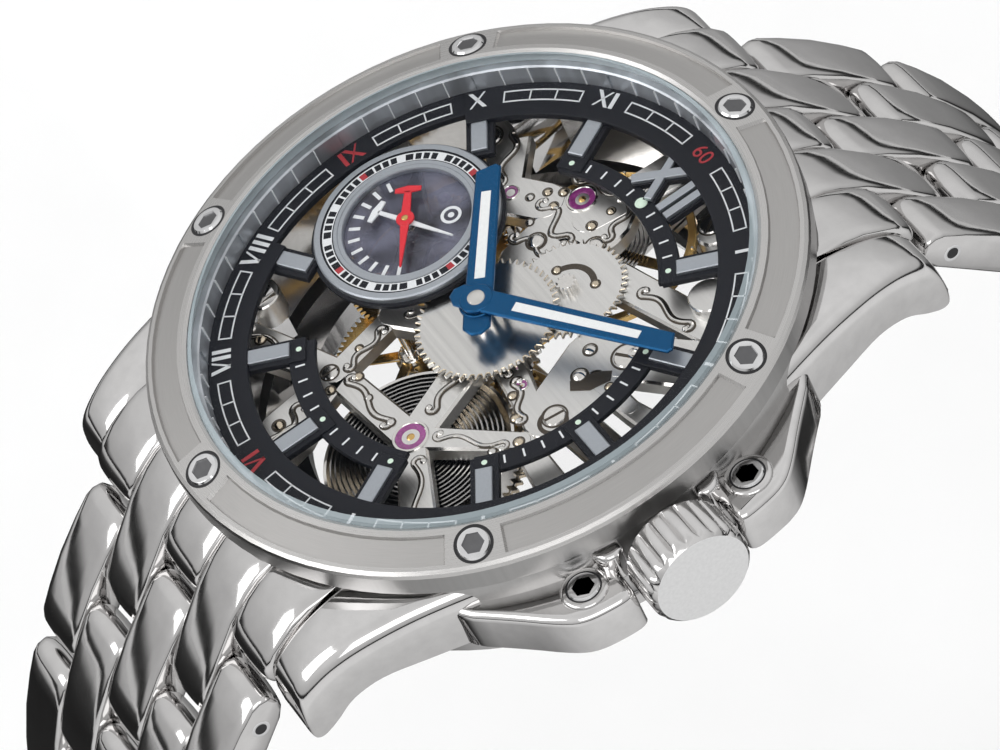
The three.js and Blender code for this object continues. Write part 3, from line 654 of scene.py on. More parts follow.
def make_dial():
    shape = Shape("dial_skeleton")
    top = 10.1
    shape.spin([(15.75, CASE_SEAT), (19.0, CASE_SEAT), (19.0, top), (15.8, top), (15.75, top - 0.05)],
               BLACK, 128, start=207.0, sweep=306.0)
    shape.spin([(16.55, CASE_SEAT), (19.0, CASE_SEAT), (19.0, top), (16.6, top), (16.55, top - 0.05)],
               BLACK, 24, start=152.9, sweep=54.2)
    for hour in (1, 2, 3, 4, 5, 6, 7, 8, 10, 11):
        a = hour_angle(hour)
        inner = 13.1 if hour in (8, 10) else 11.9
        shape.strip(a, inner, 16.3, 0.95, 9.25, 9.72, BLACK, 0.05)
        near = 13.4 if hour in (8, 10) else 12.95
        shape.strip(a, near, 16.25, 0.56, 9.6, 9.98, SILVER, 0.06)
    for hour in (11, 12, 1, 2, 3, 4, 5, 6, 7):
        x, y = polar(12.37, hour_angle(hour))
        shape.disc(x, y, 0.56, 9.3, 9.62, BLACK, 0.05, 24)
        shape.dome(x, y, 0.45, 9.6, LUME, 0.3, 24)
    for first, inner in ((11, 11.65), (2, 11.65), (5, 11.3)):
        end = hour_angle(first) + 3.5
        shape.plate(band(inner, 13.1, end - 67.0, end, 28), 9.2, 9.58, BLACK, 0.05)
        for minute in range(1, 10):
            if minute != 5:
                shape.strip(hour_angle(first) - 6.0 * minute, 12.05, 12.7, 0.065, 9.55, 9.6, WHITE)
    twelve = (((-1.75, 16.5), (0.3, 12.8)), ((-1.9, 12.9), (0.6, 16.5)), ((1.5, 12.85), (1.5, 16.5)),
              ((2.38, 12.85), (2.38, 16.5)))
    for k, (p, q) in enumerate(twelve):
        stroke(shape, p, q, 0.95, 9.3 + 0.005 * k, 9.75 + 0.005 * k, BLACK)
        stroke(shape, p, q, 0.68 if k == 1 else 0.56, 9.7, 10.02 + 0.01 * k, SILVER)
    for hour, text in ((7, "VII"), (8, "VIII"), (10, "X"), (11, "XI"), (9, "IX"), (6, "VI")):
        mat = RED_PRINT if hour in (6, 9) else WHITE
        numeral(shape, text, hour_angle(hour), 16.85, 18.15, top, top + 0.03, mat, 0.95, 0.3)
    for hour in (1, 2, 3, 4, 5):
        shape.strip(hour_angle(hour), 16.9, 17.8, 0.12, top, top + 0.03, WHITE)
    for hour in range(12):
        start, stop = hour_angle(hour + 0.2), hour_angle(hour + 0.8)
        for r in (16.9, 17.75):
            shape.plate(band(r, r + 0.1, stop, start, 8), top, top + 0.03, WHITE, 0.005)
        for share in (0.0, 1 / 3, 2 / 3, 1.0):
            shape.strip(start + (stop - start) * share, 16.9, 17.85, 0.05, top, top + 0.03, WHITE)
    shape.spin([(5.0, 9.2), (6.65, 9.2), (6.65, 9.47), (6.6, 9.5), (5.0, 9.5)], BLACK, 64, *SUB)
    shape.done("case", ["dial_frame"])


def make_sixty():
    """The figures at twelve o'clock on the chapter ring."""
    curve = bpy.data.curves.new("minute_sixty", "FONT")
    curve.body = "60"
    curve.size = 1.55 * MM
    curve.align_x = "CENTER"
    curve.align_y = "CENTER"
    curve.extrude = 0.015 * MM
    text = bpy.data.objects.new("minute_sixty", curve)
    bpy.context.scene.collection.objects.link(text)
    text.location = (0, 17.35 * MM, 10.115 * MM)
    text.data.materials.append(RED_PRINT)
    bpy.context.view_layer.update()
    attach(text, "case")


def make_small_dial():
    x, y = SUB
    shape = Shape("small_dial")
    shape.spin([(4.4, 9.5), (6.4, 9.5), (6.4, 9.86), (6.3, 9.95), (5.9, 9.95), (5.86, 9.88), (5.04, 9.88),
                (5.0, 9.95), (4.75, 9.95), (4.72, 9.9), (4.45, 9.9), (4.4, 9.8)], SILVER, 96, x, y,
               mats={4: BLACK, 5: BLACK})
    for r0, r1 in ((5.68, 5.76), (5.1, 5.16)):
        shape.spin(box(r0, r1, 9.86, 9.9), WHITE, 96, x, y)
    for k in range(60):
        middle, half, high, mat = 6 * k, 0.8, 9.9, WHITE
        if k % 5 == 0:
            middle, half, high, mat = 6 * k + 3, 2.6, 9.895, WHITE if k % 15 else RED_PRINT
        mark = [polar(r, middle + share * half, SUB) for r, share in box(5.16, 5.68, -1, 1)]
        shape.plate(mark, 9.87, high, mat, 0.004)
    shape.done("case", ["small_dial_ring"], sharp=20)
    pane = Shape("small_dial_pane")
    # smoked pane, its patches of lighter and darker tint painted reflection
    pane.spin(box(0.56, 4.97, 9.2, 9.46), SMOKE_PAINTED_REFLECTION, 64, x, y)
    for k in range(11):
        pane.strip(170 + 15 * k, 3.35, 4.15, 0.13, 9.46, 9.48, WHITE, centre=SUB)
    spot = polar(2.9, 62, SUB)
    pane.washer(*spot, 0.5, 0.72, 9.46, 9.48, WHITE, 0.005, 32)
    pane.disc(*spot, 0.22, 9.46, 9.48, WHITE, 0.005, 20)
    pane.done("case", ["small_dial_window"])


# ---------------------------------------------------------------------- hands
def hand_outline(length, width, tail):
    """Outline of a central hand that points along the first axis."""
    w = width / 2
    return [(-tail, -w * 0.35), (-tail + 0.55, -w * 0.95), (-0.6, -w), (length - 0.25, -w * 0.86),
            (length, -w * 0.5), (length - 0.45, w * 0.86), (-0.6, w), (-tail + 0.55, w * 0.95),
            (-tail, w * 0.35)]


# name, node, body, material, angle, height, length, half width, hub radius, slot
SMALL_HANDS = (
    ("white_small_hand", "day_hand", "day_hand", WHITE, WHITE_ANGLE, 9.86, 3.75, 0.2, 0.5, "white_paint"),
    ("red_small_hand", "seconds_hand", "fourth_wheel", RED, RED_ANGLE, 10.1, 4.0, 0.34, 0.62, "red_paint"),
)


def make_hands():
    hour = Shape("hour_hand_blued")
    hour.plate(turned(hand_outline(11.4, 1.95, 2.6), HOUR_ANGLE), 10.42, 10.64, BLUE, 0.1)
    lume = [(1.9, -0.36), (9.1, -0.33), (9.1, 0.33), (1.9, 0.36)]
    hour.plate(turned(lume, HOUR_ANGLE), 10.6, 10.67, LUME_WHITE, 0.02)
    hour.disc(0, 0, 1.3, 10.4, 10.7, BLUE, 0.08, 40)
    hour.disc(0, 0, 0.95, 8.5, 10.45, BRIGHT, 0.02, 24)
    hour.plate(gear((0, 0), 4.5, 4.88, 55), 8.5, 8.86, CIRCLED, 0.05, WARM)
    hour.done("hour_hand", ["hour_hand"])
    minute = Shape("minute_hand_blued")
    minute.plate(turned(hand_outline(14.8, 1.8, 1.9), MINUTE_ANGLE), 10.8, 11.02, BLUE, 0.1)
    lume = [(2.84, -0.35), (12.2, -0.3), (12.2, 0.3), (2.84, 0.35)]
    minute.plate(turned(lume, MINUTE_ANGLE), 10.98, 11.05, LUME_WHITE, 0.02)
    minute.disc(0, 0, 1.15, 10.78, 11.06, BLUE, 0.08, 40)
    minute.disc(0, 0, 0.6, 6.95, 10.9, BRIGHT, 0.02, 24)
    minute.dome(0, 0, 0.62, 11.05, BRIGHT, 0.3, 32)
    minute.plate(gear((0, 0), 1.2, 1.55, 20), 8.0, 8.34, BRIGHT, 0.04)
    minute.done("minute_hand", ["minute_hand"])
    for name, node_name, body, mat, angle, low, length, wide, hub, slot in SMALL_HANDS:
        shape = Shape(name)
        shape.plate(turned([(-2.3, -wide * 0.7), (0, -wide), (length, -0.06), (length, 0.06), (0, wide),
                            (-2.3, wide * 0.7)], angle, SUB), low, low + 0.11, mat, 0.03)
        shape.plate(turned([(-2.6, -0.9), (-2.25, -0.9), (-2.15, 0), (-2.25, 0.9), (-2.6, 0.9), (-2.75, 0)],
                           angle, SUB), low, low + 0.11, mat, 0.03)
        shape.disc(*SUB, hub, low, low + 0.15, mat, 0.04, 32)
        if mat is RED:
            shape.dome(*SUB, 0.24, low + 0.15, GILT, 0.4, 20)
        else:
            shape.disc(*SUB, 0.42, 8.3, low, BRIGHT, 0.02, 20)
        shape.done(body, [node_name])


# ------------------------------------------------------------------- movement
def jewel(shape, x, y, z, r):
    """Ruby in a bright setting with the end of a pivot in it."""
    shape.washer(x, y, r * 0.82, r, z - 0.3, z + 0.04, BRIGHT, 0.04, 40)
    shape.spin([(r * 0.3, z - 0.25), (r * 0.84, z - 0.25), (r * 0.84, z), (r * 0.55, z - 0.02),
                (r * 0.3, z - 0.14)], RUBY, 40, x, y)
    shape.dome(x, y, r * 0.27, z - 0.14, GILT, 0.5, 20)


def slotted(shape, x, y, z, r, angle=35.0):
    """Slotted screw in a ring of painted shade, its slot also painted shade."""
    shape.spin(box(r, r * 1.16, z - 0.25, z + 0.005), GROOVE_PAINTED_SHADE, 32, x, y)
    shape.disc(x, y, r, z - 0.3, z + 0.06, BRIGHT, r * 0.15, 32)
    shape.strip(angle, -r * 0.86, r * 0.86, r * 0.13, z + 0.03, z + 0.066, GROOVE_PAINTED_SHADE, 0.004, (x, y))


def pearl(shape, x, y, z, r):
    """Engraved bead in a ring of painted shade."""
    shape.spin(box(r, r * 1.28, z - 0.1, z + 0.01), GROOVE_PAINTED_SHADE, 20, x, y)
    shape.dome(x, y, r, z - 0.02, WARM if (x * 7 + y * 3) % 2 > 1 else BRIGHT, 0.6, 16)


def scroll(shape, p, q, z, bend, size, thick=0.13):
    """Engraved S between two places: groove of painted shade, raised polished back and a bead at each end.
    """
    start, stop = Vector(p), Vector(q)
    along = stop - start
    normal = Vector((-along.y, along.x)).normalized()
    path = []
    for k in range(21):
        t = k / 20
        path.append(start + along * t + normal * bend * math.sin(2 * math.pi * t))
    for k, heading in ((0, path[0] - path[1]), (-1, path[-1] - path[-2])):
        heading.normalize()
        swirl = []
        here = path[k].copy()
        turn = 1 if k else -1
        base = math.atan2(heading.y, heading.x)
        for step in range(9):
            base += turn * math.copysign(0.42, -bend if k else bend)
            here = here + Vector((math.cos(base), math.sin(base))) * size * (0.75 - 0.04 * step)
            swirl.append(here.copy())
        path = list(reversed(swirl)) + path if k == 0 else path + swirl
    # groove drawn as a flat tube of painted shade
    shape.tube([(v.x, v.y, z - 0.03) for v in path], thick * 1.9, GROOVE_PAINTED_SHADE, 6, 0.25)
    shape.tube([(v.x, v.y, z) for v in path], thick, BRIGHT, 8, 0.9)
    for v in (path[0], path[-1]):
        shape.dome(v.x, v.y, thick * 1.9, z - 0.02, BRIGHT, 0.7, 14)


# start, end, width at start, width at end
LIMBS = (((0, 0), BARREL, 2.8, 2.4), (BARREL, (-4.5, -9.6), 2.3, 2.0),
         ((-4.5, -9.6), (-12.6, -13.2), 2.2, 2.8), (BARREL, (12.5, -12.8), 2.0, 2.8),
         (BARREL, (9.4, -3.2), 1.9, 1.5), ((9.4, -3.2), (17.4, -3.8), 1.7, 2.6),
         ((0, 0), (9.2, -1.8), 2.4, 1.8), ((8.9, -0.6), (7.2, 4.0), 4.2, 5.0),
         ((7.0, 4.2), (14.2, 9.9), 3.6, 3.8), ((0, 0), THIRD, 2.4, 2.0), (THIRD, SUB, 2.0, 2.4),
         ((-4.5, -9.6), THIRD, 1.6, 1.6), (SUB, (-17.2, 2.4), 2.4, 3.0), (SUB, ESCAPE, 2.0, 2.8),
         (ESCAPE, FORK, 3.2, 3.2), (FORK, BALANCE, 3.2, 3.2), (ESCAPE, (-14.2, 9.8), 2.4, 3.6),
         (BALANCE, (-2.6, 5.0), 6.2, 5.4), ((0, 0), (-2.4, 5.0), 2.6, 4.6),
         (BALANCE, (-2.2, 17.4), 2.6, 3.4), ((-2.5, -14.4), (-2.5, -17.4), 3.6, 5.0),
         ((-4.2, -10), (-3.0, -14.6), 2.2, 3.4), (MINUTE_WHEEL, (-1.5, 6.4), 3.0, 3.6),
         ((4.0, 14.9), (4.4, 17.6), 2.2, 3.6), ((9.0, 11.75), (12.4, 12.7), 2.7, 2.4),
         ((-12.95, -10.3), (-14.6, -11.4), 2.7, 3.4), ((2.3, 8.2), (12.4, 11.2), 2.6, 2.4),
         ((12.2, 3.4), (17.2, 4.6), 1.4, 2.0), ((8.6, 3.0), (12.2, 3.4), 1.6, 1.4))
# x, y, radius of the jewels, the screws and the beads on the plate
JEWELS = ((*BARREL, 1.25), (-4.7, 10.0, 1.1), (-8.7, 6.75, 0.62), (-11.6, 3.2, 0.5),
          (5.6, -0.9, 0.45))
SCREWS = ((8.6, 5.4, 0.95), (9.3, -0.6, 0.8), (3.4, 15.1, 0.78), (-2.0, 15.6, 0.62), (-13.9, 8.2, 0.8),
          (-4.6, -9.9, 0.6), (11.6, -12.2, 0.8), (-15.4, 2.0, 0.7), (14.6, 6.8, 0.6), (-12.0, -13.0, 0.75))
PEARLS = ((-2.3, 9.3, 0.34), (-0.7, 8.6, 0.62), (-3.9, 5.9, 0.6), (-1.9, 7.3, 0.42), (-6.1, 9.4, 0.32),
          (-5.6, 8.3, 0.3), (-6.9, 8.6, 0.3), (-2.4, 10.9, 0.28), (-4.4, 12.2, 0.3), (-7.4, 7.5, 0.28),
          (-5.6, 6.4, 0.26), (-1.2, 5.2, 0.42), (4.2, -1.1, 0.3), (5.9, -1.8, 0.3), (7.6, -2.6, 0.32),
          (9.4, -3.4, 0.34), (8.8, -5.1, 0.26), (1.9, -8.9, 0.3), (-0.9, -9.0, 0.26), (-2.9, -8.6, 0.3),
          (-3.3, -10.6, 0.32), (-4.9, -7.4, 0.26), (7.7, 2.3, 0.5), (6.4, 3.9, 0.42), (9.9, 3.3, 0.3),
          (-3.3, -14.6, 0.4), (-1.9, -15.4, 0.34), (-3.6, -16.2, 0.4), (-1.2, 13.6, 0.34),
          (-2.8, 12.9, 0.26), (-12.6, -12.3, 0.3), (-10.4, -12.0, 0.36), (-8.2, -11.0, 0.3),
          (10.6, 7.0, 0.34), (12.3, 8.6, 0.3))
# start, end, bend, size of the swirls at the ends
SCROLLS = (
    ((-5.9, 7.6), (-2.9, 7.7), 0.75, 0.26), ((-4.8, 4.9), (-2.3, 6.3), 0.5, 0.22),
    ((-6.0, 10.6), (-3.2, 12.2), 0.35, 0.2), ((-0.6, 9.9), (-2.0, 12.0), 0.35, 0.2),
    ((1.6, -8.9), (-2.9, -9.4), 0.35, 0.2), ((-3.9, -8.4), (-5.2, -5.8), 0.35, 0.18),
    ((5.5, -7.2), (8.6, -4.2), 0.35, 0.2), ((5.2, -1.3), (7.9, -2.1), 0.3, 0.17),
    ((6.0, -9.5), (10.9, -11.8), 0.4, 0.24), ((-3.6, -13.4), (-1.6, -16.4), 0.6, 0.3),
    ((-1.5, -13.2), (-3.6, -16.8), -0.55, 0.28), ((-6.6, -10.4), (-11.2, -12.5), 0.45, 0.24),
    ((-1.6, 12.8), (-2.3, 16.4), 0.4, 0.22), ((9.2, 5.8), (12.8, 9.0), 0.5, 0.26),
    ((-10.0, 7.1), (-12.8, 9.3), 0.45, 0.24), ((1.2, -2.8), (3.1, -6.0), 0.35, 0.2),
    ((-1.8, -1.5), (-4.6, -3.6), 0.3, 0.18), ((5.2, 8.7), (9.2, 9.9), 0.35, 0.2),
)


def make_plate():
    """Main plate: rim, crossing limbs with polished edges, and all that is engraved or fixed on them."""
    shape = Shape("movement_plate")
    shape.spin([(17.35, 3.4), (18.58, 3.4), (18.58, 9.58), (17.6, 9.58), (17.35, 9.3)], NICKEL, 96,
               mats={4: BRIGHT})
    for k, (p, q, width, end) in enumerate(LIMBS):
        lift = 0.012 * (k % 5)
        shape.bar(p, q, width, PLATE_LOW, PLATE_TOP + lift, NICKEL, 0.16, BRIGHT, end, 8)
    top = PLATE_TOP + 0.05
    for x, y, r in ((-12.95, -10.3, 1.35), (9.0, 11.75, 1.35)):
        shape.disc(x, y, r, PLATE_LOW, 8.9, NICKEL, 0.1, 40, BRIGHT)
    # ring of painted shade
    shape.spin(box(0.75, 1.05, top - 0.1, top + 0.02), GROOVE_PAINTED_SHADE, 32, 9.6, -0.9)
    for x, y, r in JEWELS:
        jewel(shape, x, y, top + 0.05, r)
    for k, (x, y, r) in enumerate(SCREWS):
        slotted(shape, x, y, top, r, 35 + 47 * k)
    for x, y, r in PEARLS:
        pearl(shape, x, y, top, r)
    recess = [(7.6, 1.6), (8.3, 1.2), (9.2, 2.2), (9.5, 3.6), (8.9, 4.1), (8.2, 3.3), (7.9, 2.4)]
    # recess drawn as a plate of painted shade
    shape.plate(recess, top - 0.2, top + 0.012, GROOVE_PAINTED_SHADE, 0.005)
    for p, q, bend, size in SCROLLS:
        scroll(shape, p, q, top, bend, size)
    shape.done("case", ["main_plate"], sharp=25)


def spiral_band(shape, centre, r0, r1, turns, z0, z1, thick, mat, steps=44):
    """Flat spring wound between two radii."""
    rings = []
    total = int(turns * steps)
    for k in range(total + 1):
        a = 2 * math.pi * k / steps
        r = r0 + (r1 - r0) * k / total
        c, s = math.cos(a), math.sin(a)
        rings.append([(centre[0] + (r + d) * c, centre[1] + (r + d) * s, z)
                      for d, z in ((-thick, z0), (thick, z0), (thick, z1), (-thick, z1))])
    shape.loft(rings, mat)


def crossed_wheel(shape, centre, tip, teeth, z0, z1, spokes=5):
    """Gilt wheel with a toothed rim and crossings to its hub."""
    root, rim = tip - 0.32, tip - 0.32 - 0.9
    outer = gear(centre, root, tip, teeth)
    inner = [polar(rim, math.degrees(math.atan2(y - centre[1], x - centre[0])), centre) for x, y in outer]
    shape.loft([[(x, y, z) for x, y in points]
                for points, z in ((inner, z0), (outer, z0), (outer, z1), (inner, z1))], GILT, closed=True)
    for k in range(spokes):
        end = polar(root - 0.45, 360 / spokes * k + 20, centre)
        shape.bar(centre, end, 0.8, z0 + 0.02, z1 - 0.01, GILT, 0.04, BRIGHT, 0.55)
    shape.disc(*centre, 0.9, z0, z1 + 0.15, BRIGHT, 0.06, 24)
    shape.disc(*centre, 0.34, 3.0, z1 + 0.6, BRIGHT, 0.04, 16)


def make_wheels():
    shape = Shape("minute_wheel_cut")
    shape.plate(gear(MINUTE_WHEEL, 3.6, 3.93, 48), 8.0, 8.28, NICKEL, 0.05, WARM)
    shape.plate(gear(MINUTE_WHEEL, 0.55, 0.7, 11), 8.25, 8.92, BRIGHT, 0.03)
    hook = band(1.5, 1.95, 60, 170, 12)
    # engraved hook drawn as a plate of painted shade
    shape.plate([(x + MINUTE_WHEEL[0], y + MINUTE_WHEEL[1]) for x, y in hook], 8.1, 8.29, GROOVE_PAINTED_SHADE, 0.005)
    for angle in (55, 175, 290):
        pearl(shape, *polar(1.8, angle, MINUTE_WHEEL), 8.29, 0.3)
    shape.done("minute_wheel", ["minute_wheel"])

    shape = Shape("barrel_and_spring")
    shape.spin(box(6.2, 6.4, 4.3, 6.4), BRIGHT, 96, *BARREL)
    shape.plate(gear(BARREL, 6.5, 6.85, 68), 4.3, 4.62, WARM, 0.04, BRIGHT)
    spiral_band(shape, BARREL, 1.7, 6.0, 13, 4.7, 6.5, 0.05, SPRING)
    shape.disc(*BARREL, 1.5, 4.5, 6.6, BRIGHT, 0.15, 32)
    shape.arbor(BARREL, 0.34, 3.0, 7.4)
    shape.done("barrel", ["barrel"])

    for name, centre, tip, teeth, z0, z1, pinion, arbor_top in (
            ("centre_wheel", (0, 0), 6.5, 80, 3.9, 4.15, (1.95, 2.3, 17, 4.35, 4.7, 0.04), 6.65),
            ("third_wheel", THIRD, 5.3, 75, 3.5, 3.72, (0.5, 0.66, 10, 3.7, 4.25, 0.03), 7.4),
            ("fourth_wheel", SUB, 5.58, 80, 5.4, 5.62, (0.42, 0.55, 10, 3.45, 3.8, 0.03), 8.1)):
        shape = Shape(f"{name}_cut")
        crossed_wheel(shape, centre, tip, teeth, z0, z1)
        root, leaf_tip, leaves, low, high, edge = pinion
        shape.plate(gear(centre, root, leaf_tip, leaves), low, high, BRIGHT, edge)
        shape.arbor(centre, 0.34, 3.0, arbor_top)
        if centre is SUB:
            shape.disc(*SUB, 0.21, 8.0, 10.08, BRIGHT, 0.02, 16)
        shape.done(name, [name])

    shape = Shape("escape_wheel_cut")
    hooked = [polar(r, 24 * k + step, ESCAPE)
              for k in range(15) for r, step in ((1.35, 0), (1.3, 9), (1.85, 20), (1.85, 22))]
    shape.plate(hooked, 5.95, 6.13, WARM, 0.02)
    shape.plate(gear(ESCAPE, 0.48, 0.6, 10), 5.35, 5.75, BRIGHT, 0.03)
    shape.arbor(ESCAPE, 0.33, 3.0, 7.4)
    shape.done("escape_wheel", ["escape_wheel"])

    shape = Shape("pallet_lever")
    reach = [f + (b - f) * 0.72 for f, b in zip(FORK, BALANCE)]
    shape.bar(FORK, reach, 0.6, 5.9, 6.14, BRIGHT, 0.04, end=0.4)
    heading = math.degrees(math.atan2(BALANCE[1] - FORK[1], BALANCE[0] - FORK[0]))
    for side in (-100, 100):
        tip = polar(1.45, heading + side, FORK)
        shape.bar(FORK, tip, 0.5, 5.91, 6.13, BRIGHT, 0.04, end=0.36)
        shape.disc(*tip, 0.2, 5.85, 6.17, RUBY, 0.02, 12)
    shape.arbor(FORK, 0.33, 5.0, 7.4)
    shape.done("pallet_fork", ["pallet_fork"])

    shape = Shape("balance_and_hairspring")
    shape.washer(*BALANCE, 5.72, 6.3, 4.3, 4.8, GILT, 0.06, 96)
    for k in range(3):
        shape.bar(BALANCE, polar(5.95, 120 * k + 28.6, BALANCE), 0.9, 4.42, 4.68, GILT, 0.05, GILT, 0.6)
    for k in range(12):
        shape.disc(*polar(6.18, 30 * k + 15, BALANCE), 0.1, 4.75, 4.9, BRIGHT, 0.02, 10)
    spiral_band(shape, BALANCE, 0.8, 3.4, 9, 4.95, 5.15, 0.03, SPRING, 32)
    shape.disc(*BALANCE, 0.55, 4.3, 5.55, BRIGHT, 0.06, 24)
    shape.arbor(BALANCE, 0.33, 3.0, 7.4)
    shape.done("balance_wheel", ["balance_wheel"])


FROM_BACK = Matrix.Scale(-1, 4, Vector((0, 0, 1)))


def make_bridges():
    shape = Shape("train_bridge_cut")
    z0, z1 = 2.86, 3.36
    arms = (((0, 0), BARREL, 3.0), ((0, 0), THIRD, 2.4), (THIRD, SUB, 2.2), (SUB, ESCAPE, 2.0),
            (BARREL, (9.3, -14.9), 2.6), ((0, 0), (16.8, 2.0), 2.8), (SUB, (-16.9, -1.4), 2.6),
            (ESCAPE, (-15.2, 8.3), 2.2))
    for k, (p, q, width) in enumerate(arms):
        shape.bar(p, q, width, z0 + 0.004 * k, z1 - 0.004 * k, NICKEL, 0.08, BRIGHT)
    shape.turn = FROM_BACK
    for place in ((0, 0), BARREL, THIRD, SUB, ESCAPE):
        jewel(shape, *place, -z0 + 0.02, 0.7)
    for place in ((8.8, -13.9), (15.6, 1.9), (-15.6, -1.3), (-14.2, 8.0)):
        slotted(shape, *place, -z0, 0.75, 20)
    shape.done("case", ["train_bridge"], sharp=25)
    cock = Shape("balance_cock_cut")
    cock.bar(BALANCE, (-4.7, 16.6), 2.6, z0, z1, NICKEL, 0.08, BRIGHT, 3.0)
    cock.turn = FROM_BACK
    jewel(cock, *BALANCE, -z0 + 0.02, 0.8)
    slotted(cock, -4.5, 15.4, -z0, 0.75, 60)
    cock.done("case", ["balance_cock"], sharp=25)


# ------------------------------------------------------------------- bracelet
def pin_places():
    """Pins of one side from the head to the clasp, in the Y-Z plane."""
    pins = [FIRST_PIN]
    for angle in FALL:
        a = math.radians(angle)
        pins.append((pins[-1][0] + HALF_PITCH * math.cos(a), pins[-1][1] - HALF_PITCH * math.sin(a)))
    return pins


# side outline of a link, along its slope and outwards from its first pin
LINK_SIDE = ((-2.6, 0.15), (-2.52, 0.7), (-2.2, 1.15), (-1.6, 1.42), (0.2, 1.62), (3.1, 1.75), (6.0, 1.62),
             (7.8, 1.42), (8.4, 1.15), (8.72, 0.7), (8.8, 0.15), (8.55, -0.65), (8.0, -1.15), (7.2, -1.38),
             (-1.0, -1.38), (-1.8, -1.15), (-2.35, -0.65))
# share of a column's width, and how far its outline shrinks there
CROWNING = ((0.0, 0.36), (0.025, 0.2), (0.07, 0.11), (0.15, 0.05), (0.3, 0.015), (0.5, 0.0))
OTHER_FACE = tuple((1.0 - share, shrink) for share, shrink in reversed(CROWNING[:-1]))


def column_span(k):
    """Both faces of a column, counted from the middle one."""
    return (k * COLUMN - COLUMN_W / 2, k * COLUMN + COLUMN_W / 2)


def column_block(shape, outline, pin, angle, x0, x1, sy):
    """One column of a link: its side outline carried across, crowned and rounded at both faces."""
    a = math.radians(angle)
    middle_u, middle_v = (sum(values) / len(outline) for values in zip(*outline))
    rings = []
    for share, shrink in CROWNING + OTHER_FACE:
        x = x0 + (x1 - x0) * share
        ring = []
        for u, v in outline:
            du = -math.copysign(min(abs(u - middle_u), shrink), u - middle_u)
            dv = -math.copysign(min(abs(v - middle_v), shrink), v - middle_v)
            y = pin[0] + (u + du) * math.cos(a) + (v + dv) * math.sin(a)
            z = pin[1] - (u + du) * math.sin(a) + (v + dv) * math.cos(a)
            ring.append((x, sy * y, z))
        rings.append(ring)
    shape.loft(rings, LINK)


def rod(shape, place, r, x0, x1, mat, count=28):
    """Round pin or knuckle across the bracelet at a place in the Y-Z plane."""
    keep = shape.turn
    shape.turn = keep @ sideways(0, *place)
    shape.disc(0, 0, r, x0, x1, mat, 0.04, count)
    shape.turn = keep


def make_bracelet():
    pins = pin_places()
    for side, sy in (("12", 1), ("6", -1)):
        for index in range(10):
            outer_row = index % 2 == 0
            columns = (-2, 0, 2) if outer_row else (-1, 1)
            shape = Shape(f"bracelet_{side}_row_{index + 1:02d}")
            for k in columns:
                column_block(shape, LINK_SIDE, pins[index], FALL[index], *column_span(k), sy)
            y, z = pins[index]
            reach = 2 * COLUMN + 1.5 if outer_row else 2 * COLUMN - 1.2
            rod(shape, (sy * y, z), PIN_R, -reach, reach, SCREW, 20)
            if outer_row:
                for end in (-1, 1):
                    x = end * (2 * COLUMN + COLUMN_W / 2)
                    for py, pz in (pins[index], pins[index + 1]):
                        shape.turn = sideways(x, sy * py, pz, end)
                        shape.spin([(0.42, -0.3), (0.64, -0.3), (0.64, 0.015), (0.58, 0.03), (0.42, 0.01)],
                                   SCREW, 24)
                        # painted shade inside the hollow screw end
                        shape.disc(0, 0, 0.43, -0.3, 0.006, PAINTED_SHADE_FILL, 0.002, 20)
            shape.done(f"row_{side}_{index + 1:02d}", [f"link_{side}_{index + 1:02d}"],
                       sharp=40)


UNDER_BEZEL = (19.5, 18.9, 17.6)    # where the middle, next and outer ribs begin, out of sight


def in_link(y, z):
    """A place beside the head, given along and across the first link's slope."""
    a = math.radians(FALL[0])
    dy, dz = y - FIRST_PIN[0], z - FIRST_PIN[1]
    return (dy * math.cos(a) - dz * math.sin(a), dy * math.sin(a) + dz * math.cos(a))


def make_end_links():
    """Five ribs that run from under the bezel to the first pin; ribs two and four reach past it."""
    for side, sy in (("12", 1), ("6", -1)):
        shape = Shape(f"end_link_{side}_ribs")
        short = ((-9.67, 0.48), (-8.4, 1.1), (-7.2, 1.45), (-5.6, 1.72), (-4.4, 1.62), (-3.85, 1.3),
                 (-3.62, 0.7), (-3.7, -0.4), (-4.3, -1.2), (-5.2, -1.5), (-7.4, -2.4))
        long = ((-9.67, 0.48), (-8.4, 1.1), (-7.2, 1.45), (-5.0, 1.75), (-1.6, 1.66), (1.3, 1.42),
                (2.2, 1.1), (2.58, 0.3), (2.2, -0.85), (1.3, -1.35), (-5.2, -1.5), (-7.4, -2.4))
        for k in (-2, -1, 0, 1, 2):
            x0, x1 = column_span(k)
            if k == -2:
                x0 -= 0.12
            if k == 2:
                x1 += 0.12
            hidden = [in_link(UNDER_BEZEL[abs(k)], z) for z in (6.2, 9.35)]
            column_block(shape, (short if k % 2 == 0 else long) + tuple(hidden), FIRST_PIN, FALL[0], x0, x1,
                         sy)
        shape.done("case", [f"end_link_{side}"], sharp=40)


# the clasp is drawn closed on its bow, then swung open
CLASP_PIN = (23.5, -49.41)
ARC_Z = 38.0
PRONG_REACH = 10.8          # the prongs stay inside the cover
COVER_SHRINK = 0.86         # ribs of the cover against those of the rows
COVER_FALL, LONG_OPEN, SHORT_OPEN = 62.04, 83.95, -178.25


def arc_z(y, radius):
    """Height of the clasp's bow at a place across the wrist."""
    return ARC_Z - math.sqrt(radius * radius - y * y)


HINGE_A = (-17.0, arc_z(17.0, 89.6))
HINGE_B = (13.5, arc_z(13.5, 88.2))


def about(place, degrees):
    """Turn in the Y-Z plane about a place."""
    there = Matrix.Translation(Vector((0, *place)))
    return there @ Matrix.Rotation(math.radians(degrees), 4, "X") @ there.inverted()


